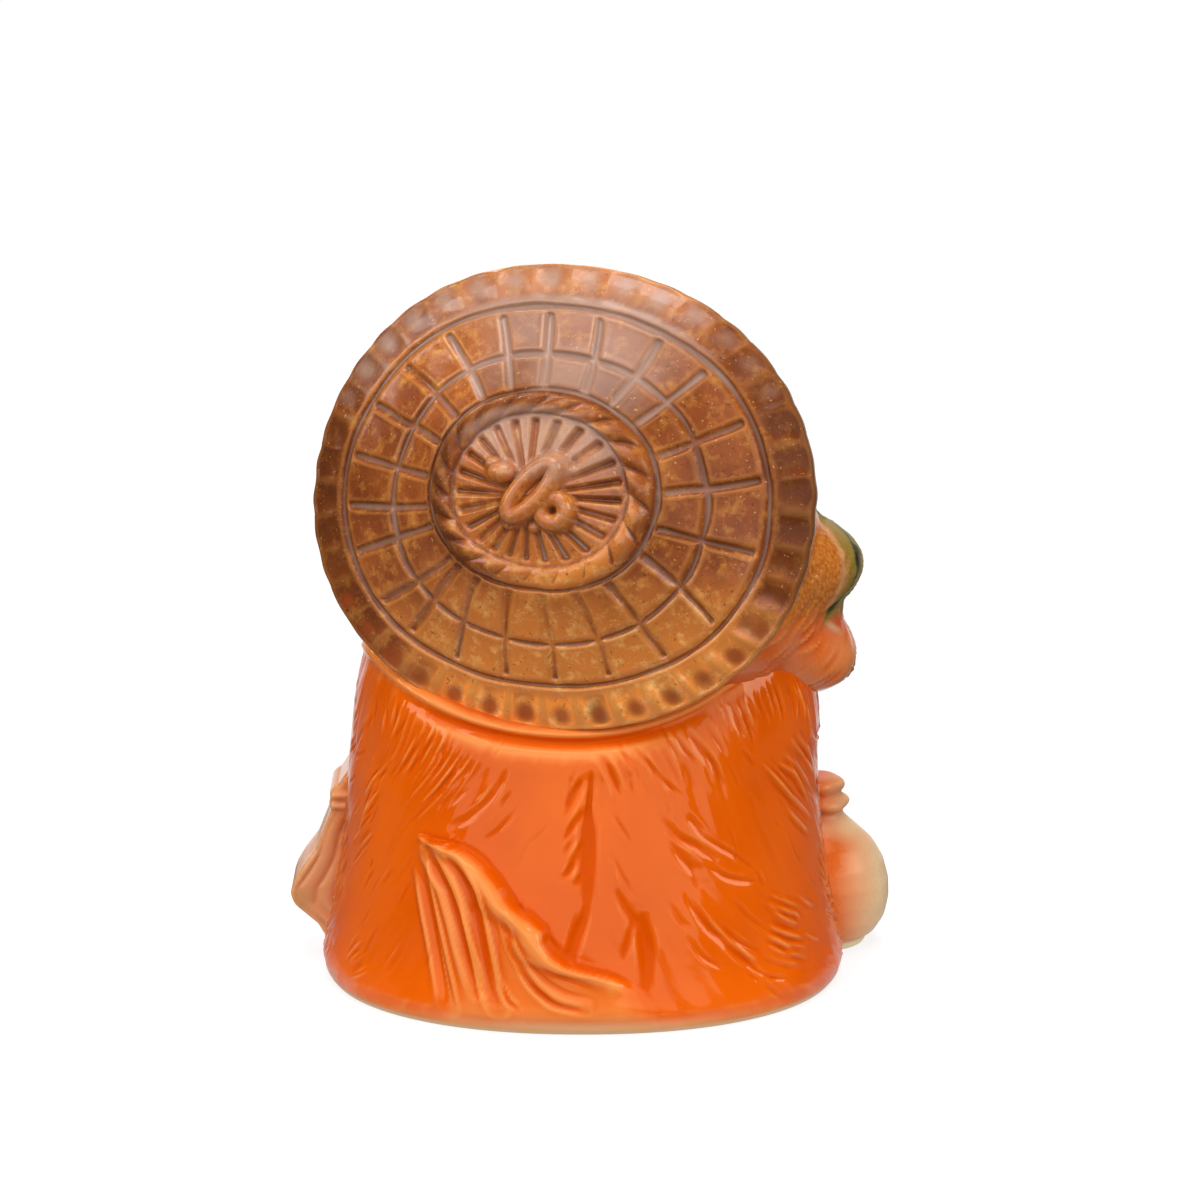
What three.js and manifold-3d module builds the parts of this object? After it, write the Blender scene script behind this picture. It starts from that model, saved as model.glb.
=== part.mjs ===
// A small glazed earthenware tanuki (raccoon dog), slip-cast in one piece. It stands on a flat foot ring and wears
// a wide straw hat on the back of its head. The right paw holds a sake flask and the left paw an account book.
// Millimetres, +Z up, the figure faces -Y, and the origin is at the middle of the flat underside.
import * as THREE from "three";
import { mergeVertices } from "three/addons/utils/BufferGeometryUtils.js";
import Module from "manifold-3d";

const wasm = await Module();
wasm.setup();

const { clamp, degToRad, smoothstep } = THREE.MathUtils;
const TURN = 2 * Math.PI;
const SEAM_TOLERANCE = 0.08;

// Hat: a shallow cone, wider than tall, whose axis points back, a little to the figure's left and upwards.
const HAT_CENTRE = new THREE.Vector3(3.6, 20, 83.5);
const HAT_HALF_WIDTH = 42;
const HAT_HALF_HEIGHT = 37.4;
const HAT_YAW = degToRad(18);
const HAT_PITCH = degToRad(12);
const HAT_SQUARENESS = 2.12;
const HAT_WORN_ANGLE = degToRad(50);
const HAT_WORN_SPREAD = degToRad(60);
const HAT_WORN_SHARE = 0.022;
const HAT_SPOKES = 22;
const HAT_RINGS = [0.6, 0.845];
const HAT_HIDDEN_TIP = 2;
const GROOVE_WIDTH = 1.2;
const GROOVE_DEPTH = 0.7;
const SPOKE_INNER = 0.45;
const SPOKE_OUTER = 0.83;
const DIMPLE_REACH = 0.922;
const DIMPLE_DEPTH = 0.9;
const RIM_ROLL_REACH = 0.97;
const UNDER_REACH = 0.975;
const ROPE_REACH = 0.385;
const ROPE_RADIUS = 1.9;
const ROPE_TURNS = 26;
const ROPE_WAIST = 0.72;
const CROWN_REACHES = [0, 0.09, 0.14, 0.3, 0.36];
const CROWN_FLUTES = 22;
const CROWN_SINK = 4;
const FLUTE_DEPTH = 0.6;

// The knot at the hat's tip, placed across and up from it: two loops of cord and a lump.
const LONG_LOOP = { across: 0.6, up: 0.8, halfLength: 6.2, halfWidth: 2.1, cord: 1.3, turn: degToRad(50), rise: 0.4 };
const SMALL_LOOP = { across: 5, up: -2.4, halfLength: 2.5, halfWidth: 2.3, cord: 1.25, turn: 0, rise: -0.3 };
const KNOT_LUMP = { across: -3.6, up: 3.6, radius: 2.3, rise: -0.1 };

// Body: a bell that widens downwards.
const BODY_CENTRE_X = 0.2;
const BODY_SQUARENESS = 2.15;
const BODY_TOP = 58;
const SHOULDER_RISE = 8;
const SHOULDER_FROM = 40;
const SHOULDER_TO = 53;
const LEAN = -0.7;
const LEAN_FROM = 34;
const LEAN_TO = 47;
const PARTING_DEPTH = 0.7;
const PARTING_HALF_WIDTH = 5;
const LOCK_DEPTH = 0.45;
const LOCKS_ACROSS = 9;
const LOCK_SPAN = 42;
const LOCK_LEAN = 0.35;
const COLLAR_RISE = 1.1;
const COLLAR_REACH = 1.12;
const COLLAR_SPREAD = 0.12;
const BELLY_CENTRE = new THREE.Vector3(0, -14, 24.5);
const BELLY_HALF = new THREE.Vector3(30, 29, 23);
const NAVEL_DEPTH = 2;
const NAVEL_SHARE = 0.12;

// Tail, raised on the back, curling to the figure's left.
const TAIL_FOOT_Z = 0.6;
const TAIL_TIP_Z = 28.6;
const TAIL_RISE = 2.6;
const TAIL_STRANDS = 4;
const STRAND_DEPTH = 0.8;
const TAIL_SINK = 3;

// Head: turned towards the figure's right.
const HEAD_CENTRE = new THREE.Vector3(-4, -1, 66);
const HEAD_YAW = degToRad(30);
const HEAD_HALF_WIDTH = 37;
const HEAD_HALF_DEPTH = 31;
const CROWN_HEIGHT = 31;
const CHIN_DEPTH = 22;
const HEAD_SQUARENESS = 2.2;
const NOSE = { half: [4.6, 3, 3.2], forward: 40.5, up: -5.5 };
const EAR = { half: [8, 4.4, 10.4], aside: 18, forward: 7, up: 28, roll: degToRad(-20) };

// What swells out of the head, at a yaw and a height in degrees from straight ahead: the muzzle, and on each side
// the ruff at the temple, the jowl, the brow and the eyeball.
const MUZZLE = { yaw: 0, height: -13, halfWidth: 36, halfHeight: 32, rise: 12 };
const SIDE_SWELLS = [
  { yaw: 60, height: 4, halfWidth: 32, halfHeight: 15.5, rise: 6.4 },
  { yaw: 60, height: -22.5, halfWidth: 34, halfHeight: 20.5, rise: 10.1 },
  { yaw: 27, height: 27, halfWidth: 26, halfHeight: 15, rise: 2.4 },
  { yaw: 27, height: 8, halfWidth: 14, halfHeight: 14, rise: 2 },
];

// Limbs: each arm goes from the shoulder over the elbow to the paw, and a foot is an egg beside the belly.
const RIGHT_ARM = [
  { from: [-24, -14, 42], to: [-30, -24, 32], radii: [10, 7.6] },
  { from: [-30, -24, 32], to: [-33.5, -21, 28.5], radii: [7.4, 5.4] },
];
const LEFT_ARM = [
  { from: [24, -14, 42], to: [30, -22, 34], radii: [10, 7.6] },
  { from: [30, -22, 34], to: [34, -13, 30], radii: [7.4, 5.2] },
];
const FOOT = { half: [9.5, 12.5, 6.2], aside: 16, forward: 34, up: 6.4 };

// What the paws hold: a bottle with two rings at its neck, and a book of leaves hung by its bound end.
const FLASK_CENTRE = new THREE.Vector3(-38.4, -15, 0);
const FLASK_FOOT_RADIUS = 8.6;
const FLASK_SIDE = [[10.4, 1], [12.6, 5.6], [12.9, 10.4], [11, 16], [7.2, 20], [5, 22.2]];
const FLASK_RINGS = [{ radius: 5.9, z: 24 }, { radius: 5, z: 27.1 }];
const FLASK_RING_HALF = 1.5;
const FLASK_TOP = 28.7;
const FLASK_SIDES = 16;
const BOOK_INSIDE_X = 31;
const BOOK_SPINE = [[37.6, 33], [40.1, 29.2], [41, 28.9], [41.2, 26.4], [40.9, 25.8], [43.8, 18.4]];
const BOOK_SPREAD = { bulge: [49.2, 12], corner: [47.4, 10] };
const BOOK_FOOT = [[43.6, 6.8], [42.2, 4.4]];
const BOOK_TOP = 33.4;
const BOOK_BACK = -3;
const BOOK_DEPTH = 13;
const BOOK_BEVEL = 0.9;
const BOOK_PAGES = 3;
const PAGE_CUT = { radius: 0.7, length: 26, x: 37.2, z: 13.6, fan: 6.4, lean: -6, leanFan: -20, bite: 0.25 };

// A smooth curve through stations [place, value], read as the value at a place.
function through(stations) {
  const last = stations.length - 1;
  const slopes = stations.map((_, i) => {
    const before = stations[Math.max(i - 1, 0)];
    const after = stations[Math.min(i + 1, last)];
    return (after[1] - before[1]) / (after[0] - before[0]);
  });
  return (place) => {
    let i = 0;
    while (i < last - 1 && place > stations[i + 1][0]) i += 1;
    const [x0, y0] = stations[i];
    const [x1, y1] = stations[i + 1];
    const span = x1 - x0;
    const t = clamp((place - x0) / span, 0, 1);
    const s = 1 - t;
    const ends = y0 * (1 + 2 * t) * s * s + y1 * (3 - 2 * t) * t * t;
    return ends + span * (slopes[i] * t * s * s - slopes[i + 1] * t * t * s);
  };
}

// A round hump of height 1 at 0, gone at a distance of 1.
const hump = (t) => (Math.abs(t) < 1 ? 0.5 + 0.5 * Math.cos(Math.PI * t) : 0);

// The superellipse radius in the direction of an angle, for half sizes of 1.
const squareRound = (angle, power) =>
  (Math.abs(Math.cos(angle)) ** power + Math.abs(Math.sin(angle)) ** power) ** (-1 / power);

const vector = ([x, y, z]) => new THREE.Vector3(x, y, z);

// A closed surface laid on the grid of a sphere: place(column, row) gives each point, and a pole's row is one point.
function closedSurface(columns, rows, place) {
  const grid = new THREE.SphereGeometry(1, columns, rows);
  const position = grid.getAttribute("position");
  for (let row = 0; row <= rows; row += 1)
    for (let column = 0; column <= columns; column += 1) {
      const point = place(column % columns, row);
      position.setXYZ(row * (columns + 1) + column, point.x, point.y, point.z);
    }
  return grid;
}

// A closed mesh as a solid for joining. A mesh that came out inside out is turned round.
function solid(geometry) {
  const bare = geometry.clone();
  bare.deleteAttribute("normal");
  bare.deleteAttribute("uv");
  const merged = mergeVertices(bare, 1e-4);
  const corners = merged.index.array;
  const faces = [];
  for (let i = 0; i < corners.length; i += 3) {
    const [a, b, c] = [corners[i], corners[i + 1], corners[i + 2]];
    if (a !== b && b !== c && c !== a) faces.push([a, b, c]);
  }
  const vertProperties = new Float32Array(merged.getAttribute("position").array);
  const make = (list) =>
    new wasm.Manifold(new wasm.Mesh({ numProp: 3, vertProperties, triVerts: new Uint32Array(list.flat()) }));
  const made = make(faces);
  return made.volume() > 0 ? made : make(faces.map(([a, b, c]) => [a, c, b]));
}

// Solids joined into one. The slivers that a join leaves along its seams are smoothed out.
function join(solids) {
  return solids.reduce((whole, next) => whole.add(next)).simplify(SEAM_TOLERANCE);
}

// The outermost skin alone: small pockets closed in between joined forms are filled.
function filled(whole) {
  return whole.decompose().reduce((largest, shell) => (shell.volume() > largest.volume() ? shell : largest));
}

function asGeometry(whole) {
  const mesh = whole.getMesh();
  const count = mesh.vertProperties.length / mesh.numProp;
  const position = new Float32Array(count * 3);
  for (let i = 0; i < count; i += 1)
    position.set(mesh.vertProperties.subarray(i * mesh.numProp, i * mesh.numProp + 3), i * 3);
  const geometry = new THREE.BufferGeometry();
  geometry.setAttribute("position", new THREE.BufferAttribute(position, 3));
  geometry.setIndex(new THREE.BufferAttribute(new Uint32Array(mesh.triVerts), 1));
  geometry.computeVertexNormals();
  return geometry;
}

// An egg of three half sizes, placed by a matrix.
function egg(half, matrix, columns, rows) {
  return solid(new THREE.SphereGeometry(1, columns, rows).scale(...half).applyMatrix4(matrix));
}

// The hat's own directions: across to the figure's right, up along the disc, and out along its axis.
const hatOut = new THREE.Vector3(
  Math.sin(HAT_YAW) * Math.cos(HAT_PITCH),
  Math.cos(HAT_YAW) * Math.cos(HAT_PITCH),
  Math.sin(HAT_PITCH),
);
const hatAcross = new THREE.Vector3(-Math.cos(HAT_YAW), Math.sin(HAT_YAW), 0);
const hatUp = new THREE.Vector3().crossVectors(hatAcross, hatOut).negate();

// A place on the hat, in millimetres across, up and out from its centre.
function onHat(across, up, lift) {
  return HAT_CENTRE.clone()
    .addScaledVector(hatAcross, across)
    .addScaledVector(hatUp, up)
    .addScaledVector(hatOut, lift);
}

// A point of the hat at an angle round its axis. Its outline is a little squarer than an oval, and worn flatter at
// the upper right.
function hatPoint(angle, reach, lift) {
  const worn = HAT_WORN_SHARE * hump((angle - HAT_WORN_ANGLE) / HAT_WORN_SPREAD);
  const size = reach * squareRound(angle, HAT_SQUARENESS) * (1 - worn);
  return onHat(size * HAT_HALF_WIDTH * Math.cos(angle), size * HAT_HALF_HEIGHT * Math.sin(angle), lift);
}

// How far out from the hat's centre a point lies, as a share of the way to the rim.
function hatReach(point) {
  const from = point.clone().sub(HAT_CENTRE);
  return Math.hypot(from.dot(hatAcross) / HAT_HALF_WIDTH, from.dot(hatUp) / HAT_HALF_HEIGHT);
}

const hatTop = through([
  [0, 17.2], [0.335, 14.3], [0.43, 12.6], [HAT_RINGS[0], 8.6], [HAT_RINGS[1], 3.6], [0.93, 2.4], [1, -0.8],
]);
const hatUnder = through([[0, 4], [UNDER_REACH, -3.2]]);

// The brim: a cone with spokes and rings cut into it, and a band of dimples along the rim, two to each spoke.
function brim() {
  const ringHalf = GROOVE_WIDTH / (2 * HAT_HALF_HEIGHT);
  const ringRows = HAT_RINGS.flatMap((ring) => [ring - ringHalf, ring, ring + ringHalf]);
  const top = [0, SPOKE_INNER, ...ringRows, DIMPLE_REACH, RIM_ROLL_REACH, 1];
  const under = [UNDER_REACH, 0];
  const sector = TURN / HAT_SPOKES;
  const place = (column, row) => {
    const onTop = row < top.length;
    const reach = onTop ? top[row] : under[row - top.length];
    const part = column % 4;
    const spoke = Math.floor(column / 4);
    const outside = reach > HAT_RINGS[1] || !onTop;
    const grooveHalf = GROOVE_WIDTH / (2 * Math.max(reach, CROWN_REACHES[3]) * HAT_HALF_WIDTH);
    const offsets = outside
      ? [0, sector / 4, sector / 2, (3 * sector) / 4]
      : [0, grooveHalf, sector / 2, sector - grooveHalf];
    const angle = spoke * sector + offsets[part];
    if (!onTop) return hatPoint(angle, reach, hatUnder(reach));
    let lift = hatTop(reach);
    if (row === 0) lift -= HAT_HIDDEN_TIP;
    if (HAT_RINGS.includes(reach)) lift -= GROOVE_DEPTH;
    else if (part === 0 && reach >= SPOKE_INNER && reach < SPOKE_OUTER) lift -= GROOVE_DEPTH;
    if (reach === DIMPLE_REACH && part % 2 === 1) lift -= DIMPLE_DEPTH;
    return hatPoint(angle, reach, lift);
  };
  return solid(closedSurface(HAT_SPOKES * 4, top.length + under.length - 1, place));
}

// The twisted rope around the crown: a ring whose thickness swells at each turn of the strands.
function rope() {
  const steps = ROPE_TURNS * 2;
  const sides = 4;
  const ring = new THREE.TorusGeometry(1, 0.1, sides, steps);
  const position = ring.getAttribute("position");
  for (let side = 0; side <= sides; side += 1)
    for (let step = 0; step <= steps; step += 1) {
      const turn = ((side % sides) / sides) * TURN;
      const swell = (step % steps) % 2 === 0 ? 1 : ROPE_WAIST;
      const slant = (0.5 * Math.sin(turn)) / steps;
      const angle = ((step % steps) / steps + slant) * TURN;
      const reach = ROPE_REACH + (ROPE_RADIUS * swell * Math.cos(turn)) / HAT_HALF_WIDTH;
      const point = hatPoint(angle, reach, hatTop(ROPE_REACH) + ROPE_RADIUS * swell * Math.sin(turn));
      position.setXYZ(side * (steps + 1) + step, point.x, point.y, point.z);
    }
  return solid(ring);
}

// The gathered crown inside the rope, fluted towards its middle.
function crown() {
  const rows = CROWN_REACHES.length;
  const edge = CROWN_REACHES[rows - 1];
  const place = (column, row) => {
    const angle = (column / (CROWN_FLUTES * 2)) * TURN;
    if (row === rows) return hatPoint(angle, 0, hatTop(edge) - CROWN_SINK);
    const reach = CROWN_REACHES[row];
    const inFlute = column % 2 === 1 && (row === 2 || row === 3);
    return hatPoint(angle, reach, hatTop(reach) - (inFlute ? FLUTE_DEPTH : 0));
  };
  return solid(closedSurface(CROWN_FLUTES * 2, rows, place));
}

// A ring of cord lying on the hat, stretched and turned: one loop of the knot.
function knotLoop({ across, up, halfLength, halfWidth, cord, turn, rise }) {
  const ringRadius = 3;
  const loop = new THREE.TorusGeometry(ringRadius, 1, 5, 12);
  const position = loop.getAttribute("position");
  for (let i = 0; i < position.count; i += 1) {
    const x = position.getX(i);
    const y = position.getY(i);
    const round = Math.atan2(y, x);
    const out = Math.hypot(x, y) - ringRadius;
    const along = (halfLength + cord * out) * Math.cos(round);
    const aside = (halfWidth + cord * out) * Math.sin(round);
    const point = onHat(
      across + along * Math.cos(turn) - aside * Math.sin(turn),
      up + along * Math.sin(turn) + aside * Math.cos(turn),
      hatTop(0) + rise + cord * position.getZ(i),
    );
    position.setXYZ(i, point.x, point.y, point.z);
  }
  return solid(loop);
}

function knot() {
  const { across, up, radius, rise } = KNOT_LUMP;
  const lumpAt = new THREE.Matrix4().setPosition(onHat(across, up, hatTop(0) + rise));
  return join([knotLoop(LONG_LOOP), knotLoop(SMALL_LOOP), egg([radius, radius, radius], lumpAt, 8, 6)]);
}

const bodySide = through([
  [0, 41.9], [0.9, 42.7], [2.6, 43], [9, 41.8], [18, 40.1], [28, 38.9], [38, 38.3], [44, 38], [49, 36.3],
  [52, 34.4], [55, 30], [BODY_TOP, 20],
]);
const bodyBack = through([
  [0, 39], [0.9, 39.9], [2.6, 40.2], [9, 39.2], [18, 37.6], [27, 35.6], [36, 33.4], [44, 31], [50, 27],
  [55, 21], [BODY_TOP, 14],
]);
const bodyFront = through([
  [0, 33], [0.9, 34], [2.6, 34.4], [18, 34], [36, 30], [46, 25], [53, 19], [BODY_TOP, 10],
]);

// The tail's two edges across the back, from the foot up to the tip.
const tailRight = through([[0, -9], [5, -7.5], [11.3, -2.6], [16.5, 6], [23, 13.5], [TAIL_TIP_Z, 24.2]]);
const tailLeft = through([[0, 23.5], [8, 20.8], [16, 23.2], [23.3, 25.6], [TAIL_TIP_Z, 25.6]]);

// The tail: a leaf of thick strands laid on the back, steep along its right edge and thin along its left.
function tail() {
  const across = TAIL_STRANDS * 2;
  const columns = across + 4;
  const rows = 11;
  const place = (column, row) => {
    const up = row / rows;
    const z = TAIL_FOOT_Z + (TAIL_TIP_Z - TAIL_FOOT_Z) * up;
    const onTop = column <= across;
    const share = onTop ? column / across : 1 - (column - across) / (columns - across);
    const atEnd = row === 0 || row === rows;
    const x = tailRight(z) + (tailLeft(z) - tailRight(z)) * (atEnd ? 0.5 : share);
    const aside = Math.abs((x - BODY_CENTRE_X) / bodySide(z));
    const skin = bodyBack(z) * (1 - aside ** BODY_SQUARENESS) ** (1 / BODY_SQUARENESS);
    if (!onTop || atEnd) return new THREE.Vector3(x, skin - TAIL_SINK, z);
    const strand = 0.5 - 0.5 * Math.cos(share * TAIL_STRANDS * TURN);
    const swell = TAIL_RISE * (1 - 0.55 * share) * smoothstep(up, 0, 0.12) - STRAND_DEPTH * (1 - strand);
    const edge = column === 0 || column === across ? -TAIL_SINK : swell;
    return new THREE.Vector3(x, skin + edge, z);
  };
  return solid(closedSurface(columns, rows, place));
}

// Relief on the back: the parting down the spine, locks of fur that run down and away from it, and the collar of
// fur that the hat's rim presses up.
function backLift(x, z, reach) {
  const parting = PARTING_DEPTH * hump(x / PARTING_HALF_WIDTH) * smoothstep(z, 4, 12) * (1 - smoothstep(z, 34, 42));
  const sweep = (Math.abs(x) + LOCK_LEAN * z) / LOCK_SPAN;
  const locks = LOCK_DEPTH * Math.cos(sweep * LOCKS_ACROSS * TURN) * smoothstep(Math.abs(x), 3, 9);
  const collar = COLLAR_RISE * hump((reach - COLLAR_REACH) / COLLAR_SPREAD);
  return locks - parting + collar;
}

// The middle of the body at a height: the shoulders lean a little towards the flask.
function bodyMiddle(z) {
  return BODY_CENTRE_X + LEAN * smoothstep(z, LEAN_FROM, LEAN_TO);
}

// How far the shoulders rise to meet the hat's rim, on both sides.
function shoulderRise(angle, z) {
  const aside = smoothstep(Math.abs(Math.cos(angle)), 0.3, 0.8) * smoothstep(Math.sin(angle), -0.5, 0.1);
  return SHOULDER_RISE * aside * smoothstep(z, SHOULDER_FROM, SHOULDER_TO);
}

function body() {
  const heights = [BODY_TOP, 52, 49, 46.5, 44, 41, 37, 32.5, 28, 23.5, 19, 14.5, 10, 6, 2.6, 0.9, 0];
  const backColumns = 38;
  const frontColumns = 12;
  const rows = heights.length + 1;
  const place = (column, row) => {
    if (row === 0) return new THREE.Vector3(bodyMiddle(BODY_TOP), 0, BODY_TOP);
    if (row === rows) return new THREE.Vector3(BODY_CENTRE_X, 0, 0);
    const z = heights[row - 1];
    const onBack = column < backColumns;
    const angle = onBack
      ? (column / backColumns) * Math.PI
      : Math.PI + ((column - backColumns) / frontColumns) * Math.PI;
    const depth = onBack ? bodyBack(z) : bodyFront(z);
    const side = bodySide(z);
    const round = squareRound(angle, BODY_SQUARENESS);
    const point = new THREE.Vector3(
      bodyMiddle(z) + side * round * Math.cos(angle),
      depth * round * Math.sin(angle),
      z + shoulderRise(angle, z),
    );
    if (!onBack || z < 0.5) return point;
    const outward = new THREE.Vector3(Math.cos(angle) / side, Math.sin(angle) / depth, 0).normalize();
    const fade = smoothstep(Math.sin(angle), 0, 0.35) * smoothstep(z, 0, 3);
    return point.addScaledVector(outward, fade * backLift(point.x, z, hatReach(point)));
  };
  return solid(closedSurface(backColumns + frontColumns, rows, place));
}

// The belly, a big round drum at the front with a dimple for the navel.
function belly() {
  const drum = new THREE.SphereGeometry(1, 16, 10).rotateX(Math.PI / 2);
  const position = drum.getAttribute("position");
  for (let i = 0; i < position.count; i += 1) {
    const [x, y, z] = [position.getX(i), position.getY(i), position.getZ(i)];
    const navel = y < 0 ? NAVEL_DEPTH * hump(Math.hypot(x, z) / NAVEL_SHARE) : 0;
    position.setXYZ(
      i,
      BELLY_CENTRE.x + BELLY_HALF.x * x,
      BELLY_CENTRE.y + (BELLY_HALF.y - navel) * y,
      BELLY_CENTRE.z + BELLY_HALF.z * z,
    );
  }
  return solid(drum);
}

// The head's own directions: forward out of the face, and aside to the figure's right.
const headMatrix = new THREE.Matrix4().makeRotationZ(-HEAD_YAW).setPosition(HEAD_CENTRE);

// A matrix for a form on the head, at a place to the right, forward and up from its centre, rolled sideways.
function onHead(right, forward, up, roll = 0) {
  const rolled = new THREE.Matrix4().makeRotationY(roll).setPosition(-right, -forward, up);
  return headMatrix.clone().multiply(rolled);
}

function swell({ yaw, height, halfWidth, halfHeight, rise }, yawAt, heightAt) {
  const away = ((yawAt - yaw) / halfWidth) ** 2 + ((heightAt - height) / halfHeight) ** 2;
  return away < 1 ? rise * (1 - away) ** 2 : 0;
}

function skull() {
  const columns = 34;
  const rows = 18;
  const place = (column, row) => {
    const yaw = (column / columns) * TURN - Math.PI;
    const height = Math.PI / 2 - (row / rows) * Math.PI;
    const level = row === 0 || row === rows ? 0 : Math.cos(height);
    const flat = Math.hypot(Math.cos(yaw) / HEAD_HALF_DEPTH, Math.sin(yaw) / HEAD_HALF_WIDTH) * level;
    const steep = Math.abs(Math.sin(height)) / (height > 0 ? CROWN_HEIGHT : CHIN_DEPTH);
    let size = (flat ** HEAD_SQUARENESS + steep ** HEAD_SQUARENESS) ** (-1 / HEAD_SQUARENESS);
    const yawAt = Math.abs(yaw) * THREE.MathUtils.RAD2DEG;
    const heightAt = height * THREE.MathUtils.RAD2DEG;
    if (level > 0)
      [MUZZLE, ...SIDE_SWELLS].forEach((form) => {
        size += swell(form, yawAt, heightAt);
      });
    const point = new THREE.Vector3(-Math.sin(yaw) * level, -Math.cos(yaw) * level, Math.sin(height));
    return point.multiplyScalar(size).applyMatrix4(headMatrix);
  };
  return solid(closedSurface(columns, rows, place));
}

function head() {
  const nose = egg(NOSE.half, onHead(0, NOSE.forward, NOSE.up), 8, 6);
  const ears = [1, -1].map((side) =>
    egg(EAR.half, onHead(side * EAR.aside, EAR.forward, EAR.up, side * EAR.roll), 8, 6));
  return join([skull(), nose, ...ears]);
}

// A limb: a capsule between two points that tapers from one radius to the other.
function limb({ from, to, radii: [fromRadius, toRadius] }) {
  const [start, end] = [vector(from), vector(to)];
  const capsule = new THREE.CapsuleGeometry(1, 1, 2, 8, 1);
  const position = capsule.getAttribute("position");
  for (let i = 0; i < position.count; i += 1) {
    const y = position.getY(i);
    const along = clamp(y, -0.5, 0.5) + 0.5;
    const radius = fromRadius + (toRadius - fromRadius) * along;
    const cap = (y - clamp(y, -0.5, 0.5)) * radius;
    position.setXYZ(i, position.getX(i) * radius, along * start.distanceTo(end) + cap, position.getZ(i) * radius);
  }
  const direction = end.clone().sub(start).normalize();
  const turn = new THREE.Quaternion().setFromUnitVectors(new THREE.Vector3(0, 1, 0), direction);
  return solid(capsule.applyQuaternion(turn).translate(...from));
}

function armsAndFeet() {
  const feet = [1, -1].map((side) =>
    egg(FOOT.half, new THREE.Matrix4().makeTranslation(side * FOOT.aside, -FOOT.forward, FOOT.up), 10, 6));
  return join([...RIGHT_ARM, ...LEFT_ARM].map(limb).concat(feet));
}

// The flask: a round-bellied bottle with two rings at its neck, standing beside the figure's right foot.
function flask() {
  const side = new THREE.SplineCurve(FLASK_SIDE.map(([radius, z]) => new THREE.Vector2(radius, z)));
  const neckRing = ({ radius, z }) =>
    [0.15, 0.5, 0.85].map((share) => new THREE.Vector2(
      radius - FLASK_RING_HALF * 0.9 * (1 - Math.sin(share * Math.PI)),
      z - FLASK_RING_HALF * Math.cos(share * Math.PI),
    ));
  const outline = [
    new THREE.Vector2(0, 0),
    new THREE.Vector2(FLASK_FOOT_RADIUS, 0),
    ...side.getPoints(FLASK_SIDE.length),
    ...FLASK_RINGS.flatMap(neckRing),
    new THREE.Vector2(0, FLASK_TOP),
  ];
  return solid(new THREE.LatheGeometry(outline, FLASK_SIDES).rotateX(Math.PI / 2).translate(...FLASK_CENTRE));
}

// The account book: its leaves spread towards the bottom, and grooves along its back edge part the leaves.
function book() {
  const outline = new THREE.Shape();
  outline.moveTo(BOOK_INSIDE_X, BOOK_TOP);
  BOOK_SPINE.forEach(([x, z]) => outline.lineTo(x, z));
  outline.quadraticCurveTo(...BOOK_SPREAD.bulge, ...BOOK_SPREAD.corner);
  BOOK_FOOT.forEach(([x, z]) => outline.lineTo(x, z));
  outline.lineTo(BOOK_INSIDE_X, BOOK_FOOT[1][1]);
  const block = new THREE.ExtrudeGeometry(outline, {
    depth: BOOK_DEPTH - 2 * BOOK_BEVEL,
    bevelSize: BOOK_BEVEL,
    bevelThickness: BOOK_BEVEL,
    bevelSegments: 1,
    curveSegments: 3,
  });
  let leaves = solid(block.rotateX(Math.PI / 2).translate(0, BOOK_BACK - BOOK_BEVEL, 0));
  for (let page = 1; page <= BOOK_PAGES; page += 1) {
    const spread = page / BOOK_PAGES;
    const cut = new THREE.CylinderGeometry(PAGE_CUT.radius, PAGE_CUT.radius, PAGE_CUT.length, 4);
    cut.rotateX(Math.PI / 2).rotateY(degToRad(PAGE_CUT.lean + PAGE_CUT.leanFan * spread));
    cut.translate(PAGE_CUT.x + PAGE_CUT.fan * spread, BOOK_BACK + PAGE_CUT.bite, PAGE_CUT.z);
    leaves = leaves.subtract(solid(cut));
  }
  return leaves;
}

const hat = join([brim(), rope(), crown(), knot()]);
const figure = join([body(), tail(), belly(), armsAndFeet(), head(), hat, flask(), book()]);
const glaze = new THREE.MeshStandardMaterial({ color: 0xdf5514, roughness: 0.18, metalness: 0 });
const figurine = new THREE.Mesh(asGeometry(filled(figure)), glaze);
figurine.name = "figurine";

const tanuki = new THREE.Group();
tanuki.add(figurine);
export default tanuki;
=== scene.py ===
import math
import bpy
import numpy as np
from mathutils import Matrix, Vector


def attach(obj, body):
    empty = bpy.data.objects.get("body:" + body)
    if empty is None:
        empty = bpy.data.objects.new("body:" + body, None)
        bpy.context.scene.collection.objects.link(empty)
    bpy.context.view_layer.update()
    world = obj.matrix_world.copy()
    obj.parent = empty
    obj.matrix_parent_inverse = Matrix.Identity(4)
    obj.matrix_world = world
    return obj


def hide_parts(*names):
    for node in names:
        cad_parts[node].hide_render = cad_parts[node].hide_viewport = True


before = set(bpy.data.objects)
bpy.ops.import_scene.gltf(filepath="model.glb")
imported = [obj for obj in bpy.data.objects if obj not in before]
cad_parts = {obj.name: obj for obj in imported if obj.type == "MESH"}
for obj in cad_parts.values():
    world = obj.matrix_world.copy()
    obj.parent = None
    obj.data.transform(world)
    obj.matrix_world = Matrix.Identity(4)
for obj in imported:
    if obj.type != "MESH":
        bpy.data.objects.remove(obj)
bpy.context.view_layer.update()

mm = 0.001  # sizes below are in millimetres, and the scene is in metres
fullTurn = 2 * math.pi

# small tools that every piece uses


def stack(*parts):  # values side by side on a last axis
    return np.stack(np.broadcast_arrays(*parts), -1)


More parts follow.
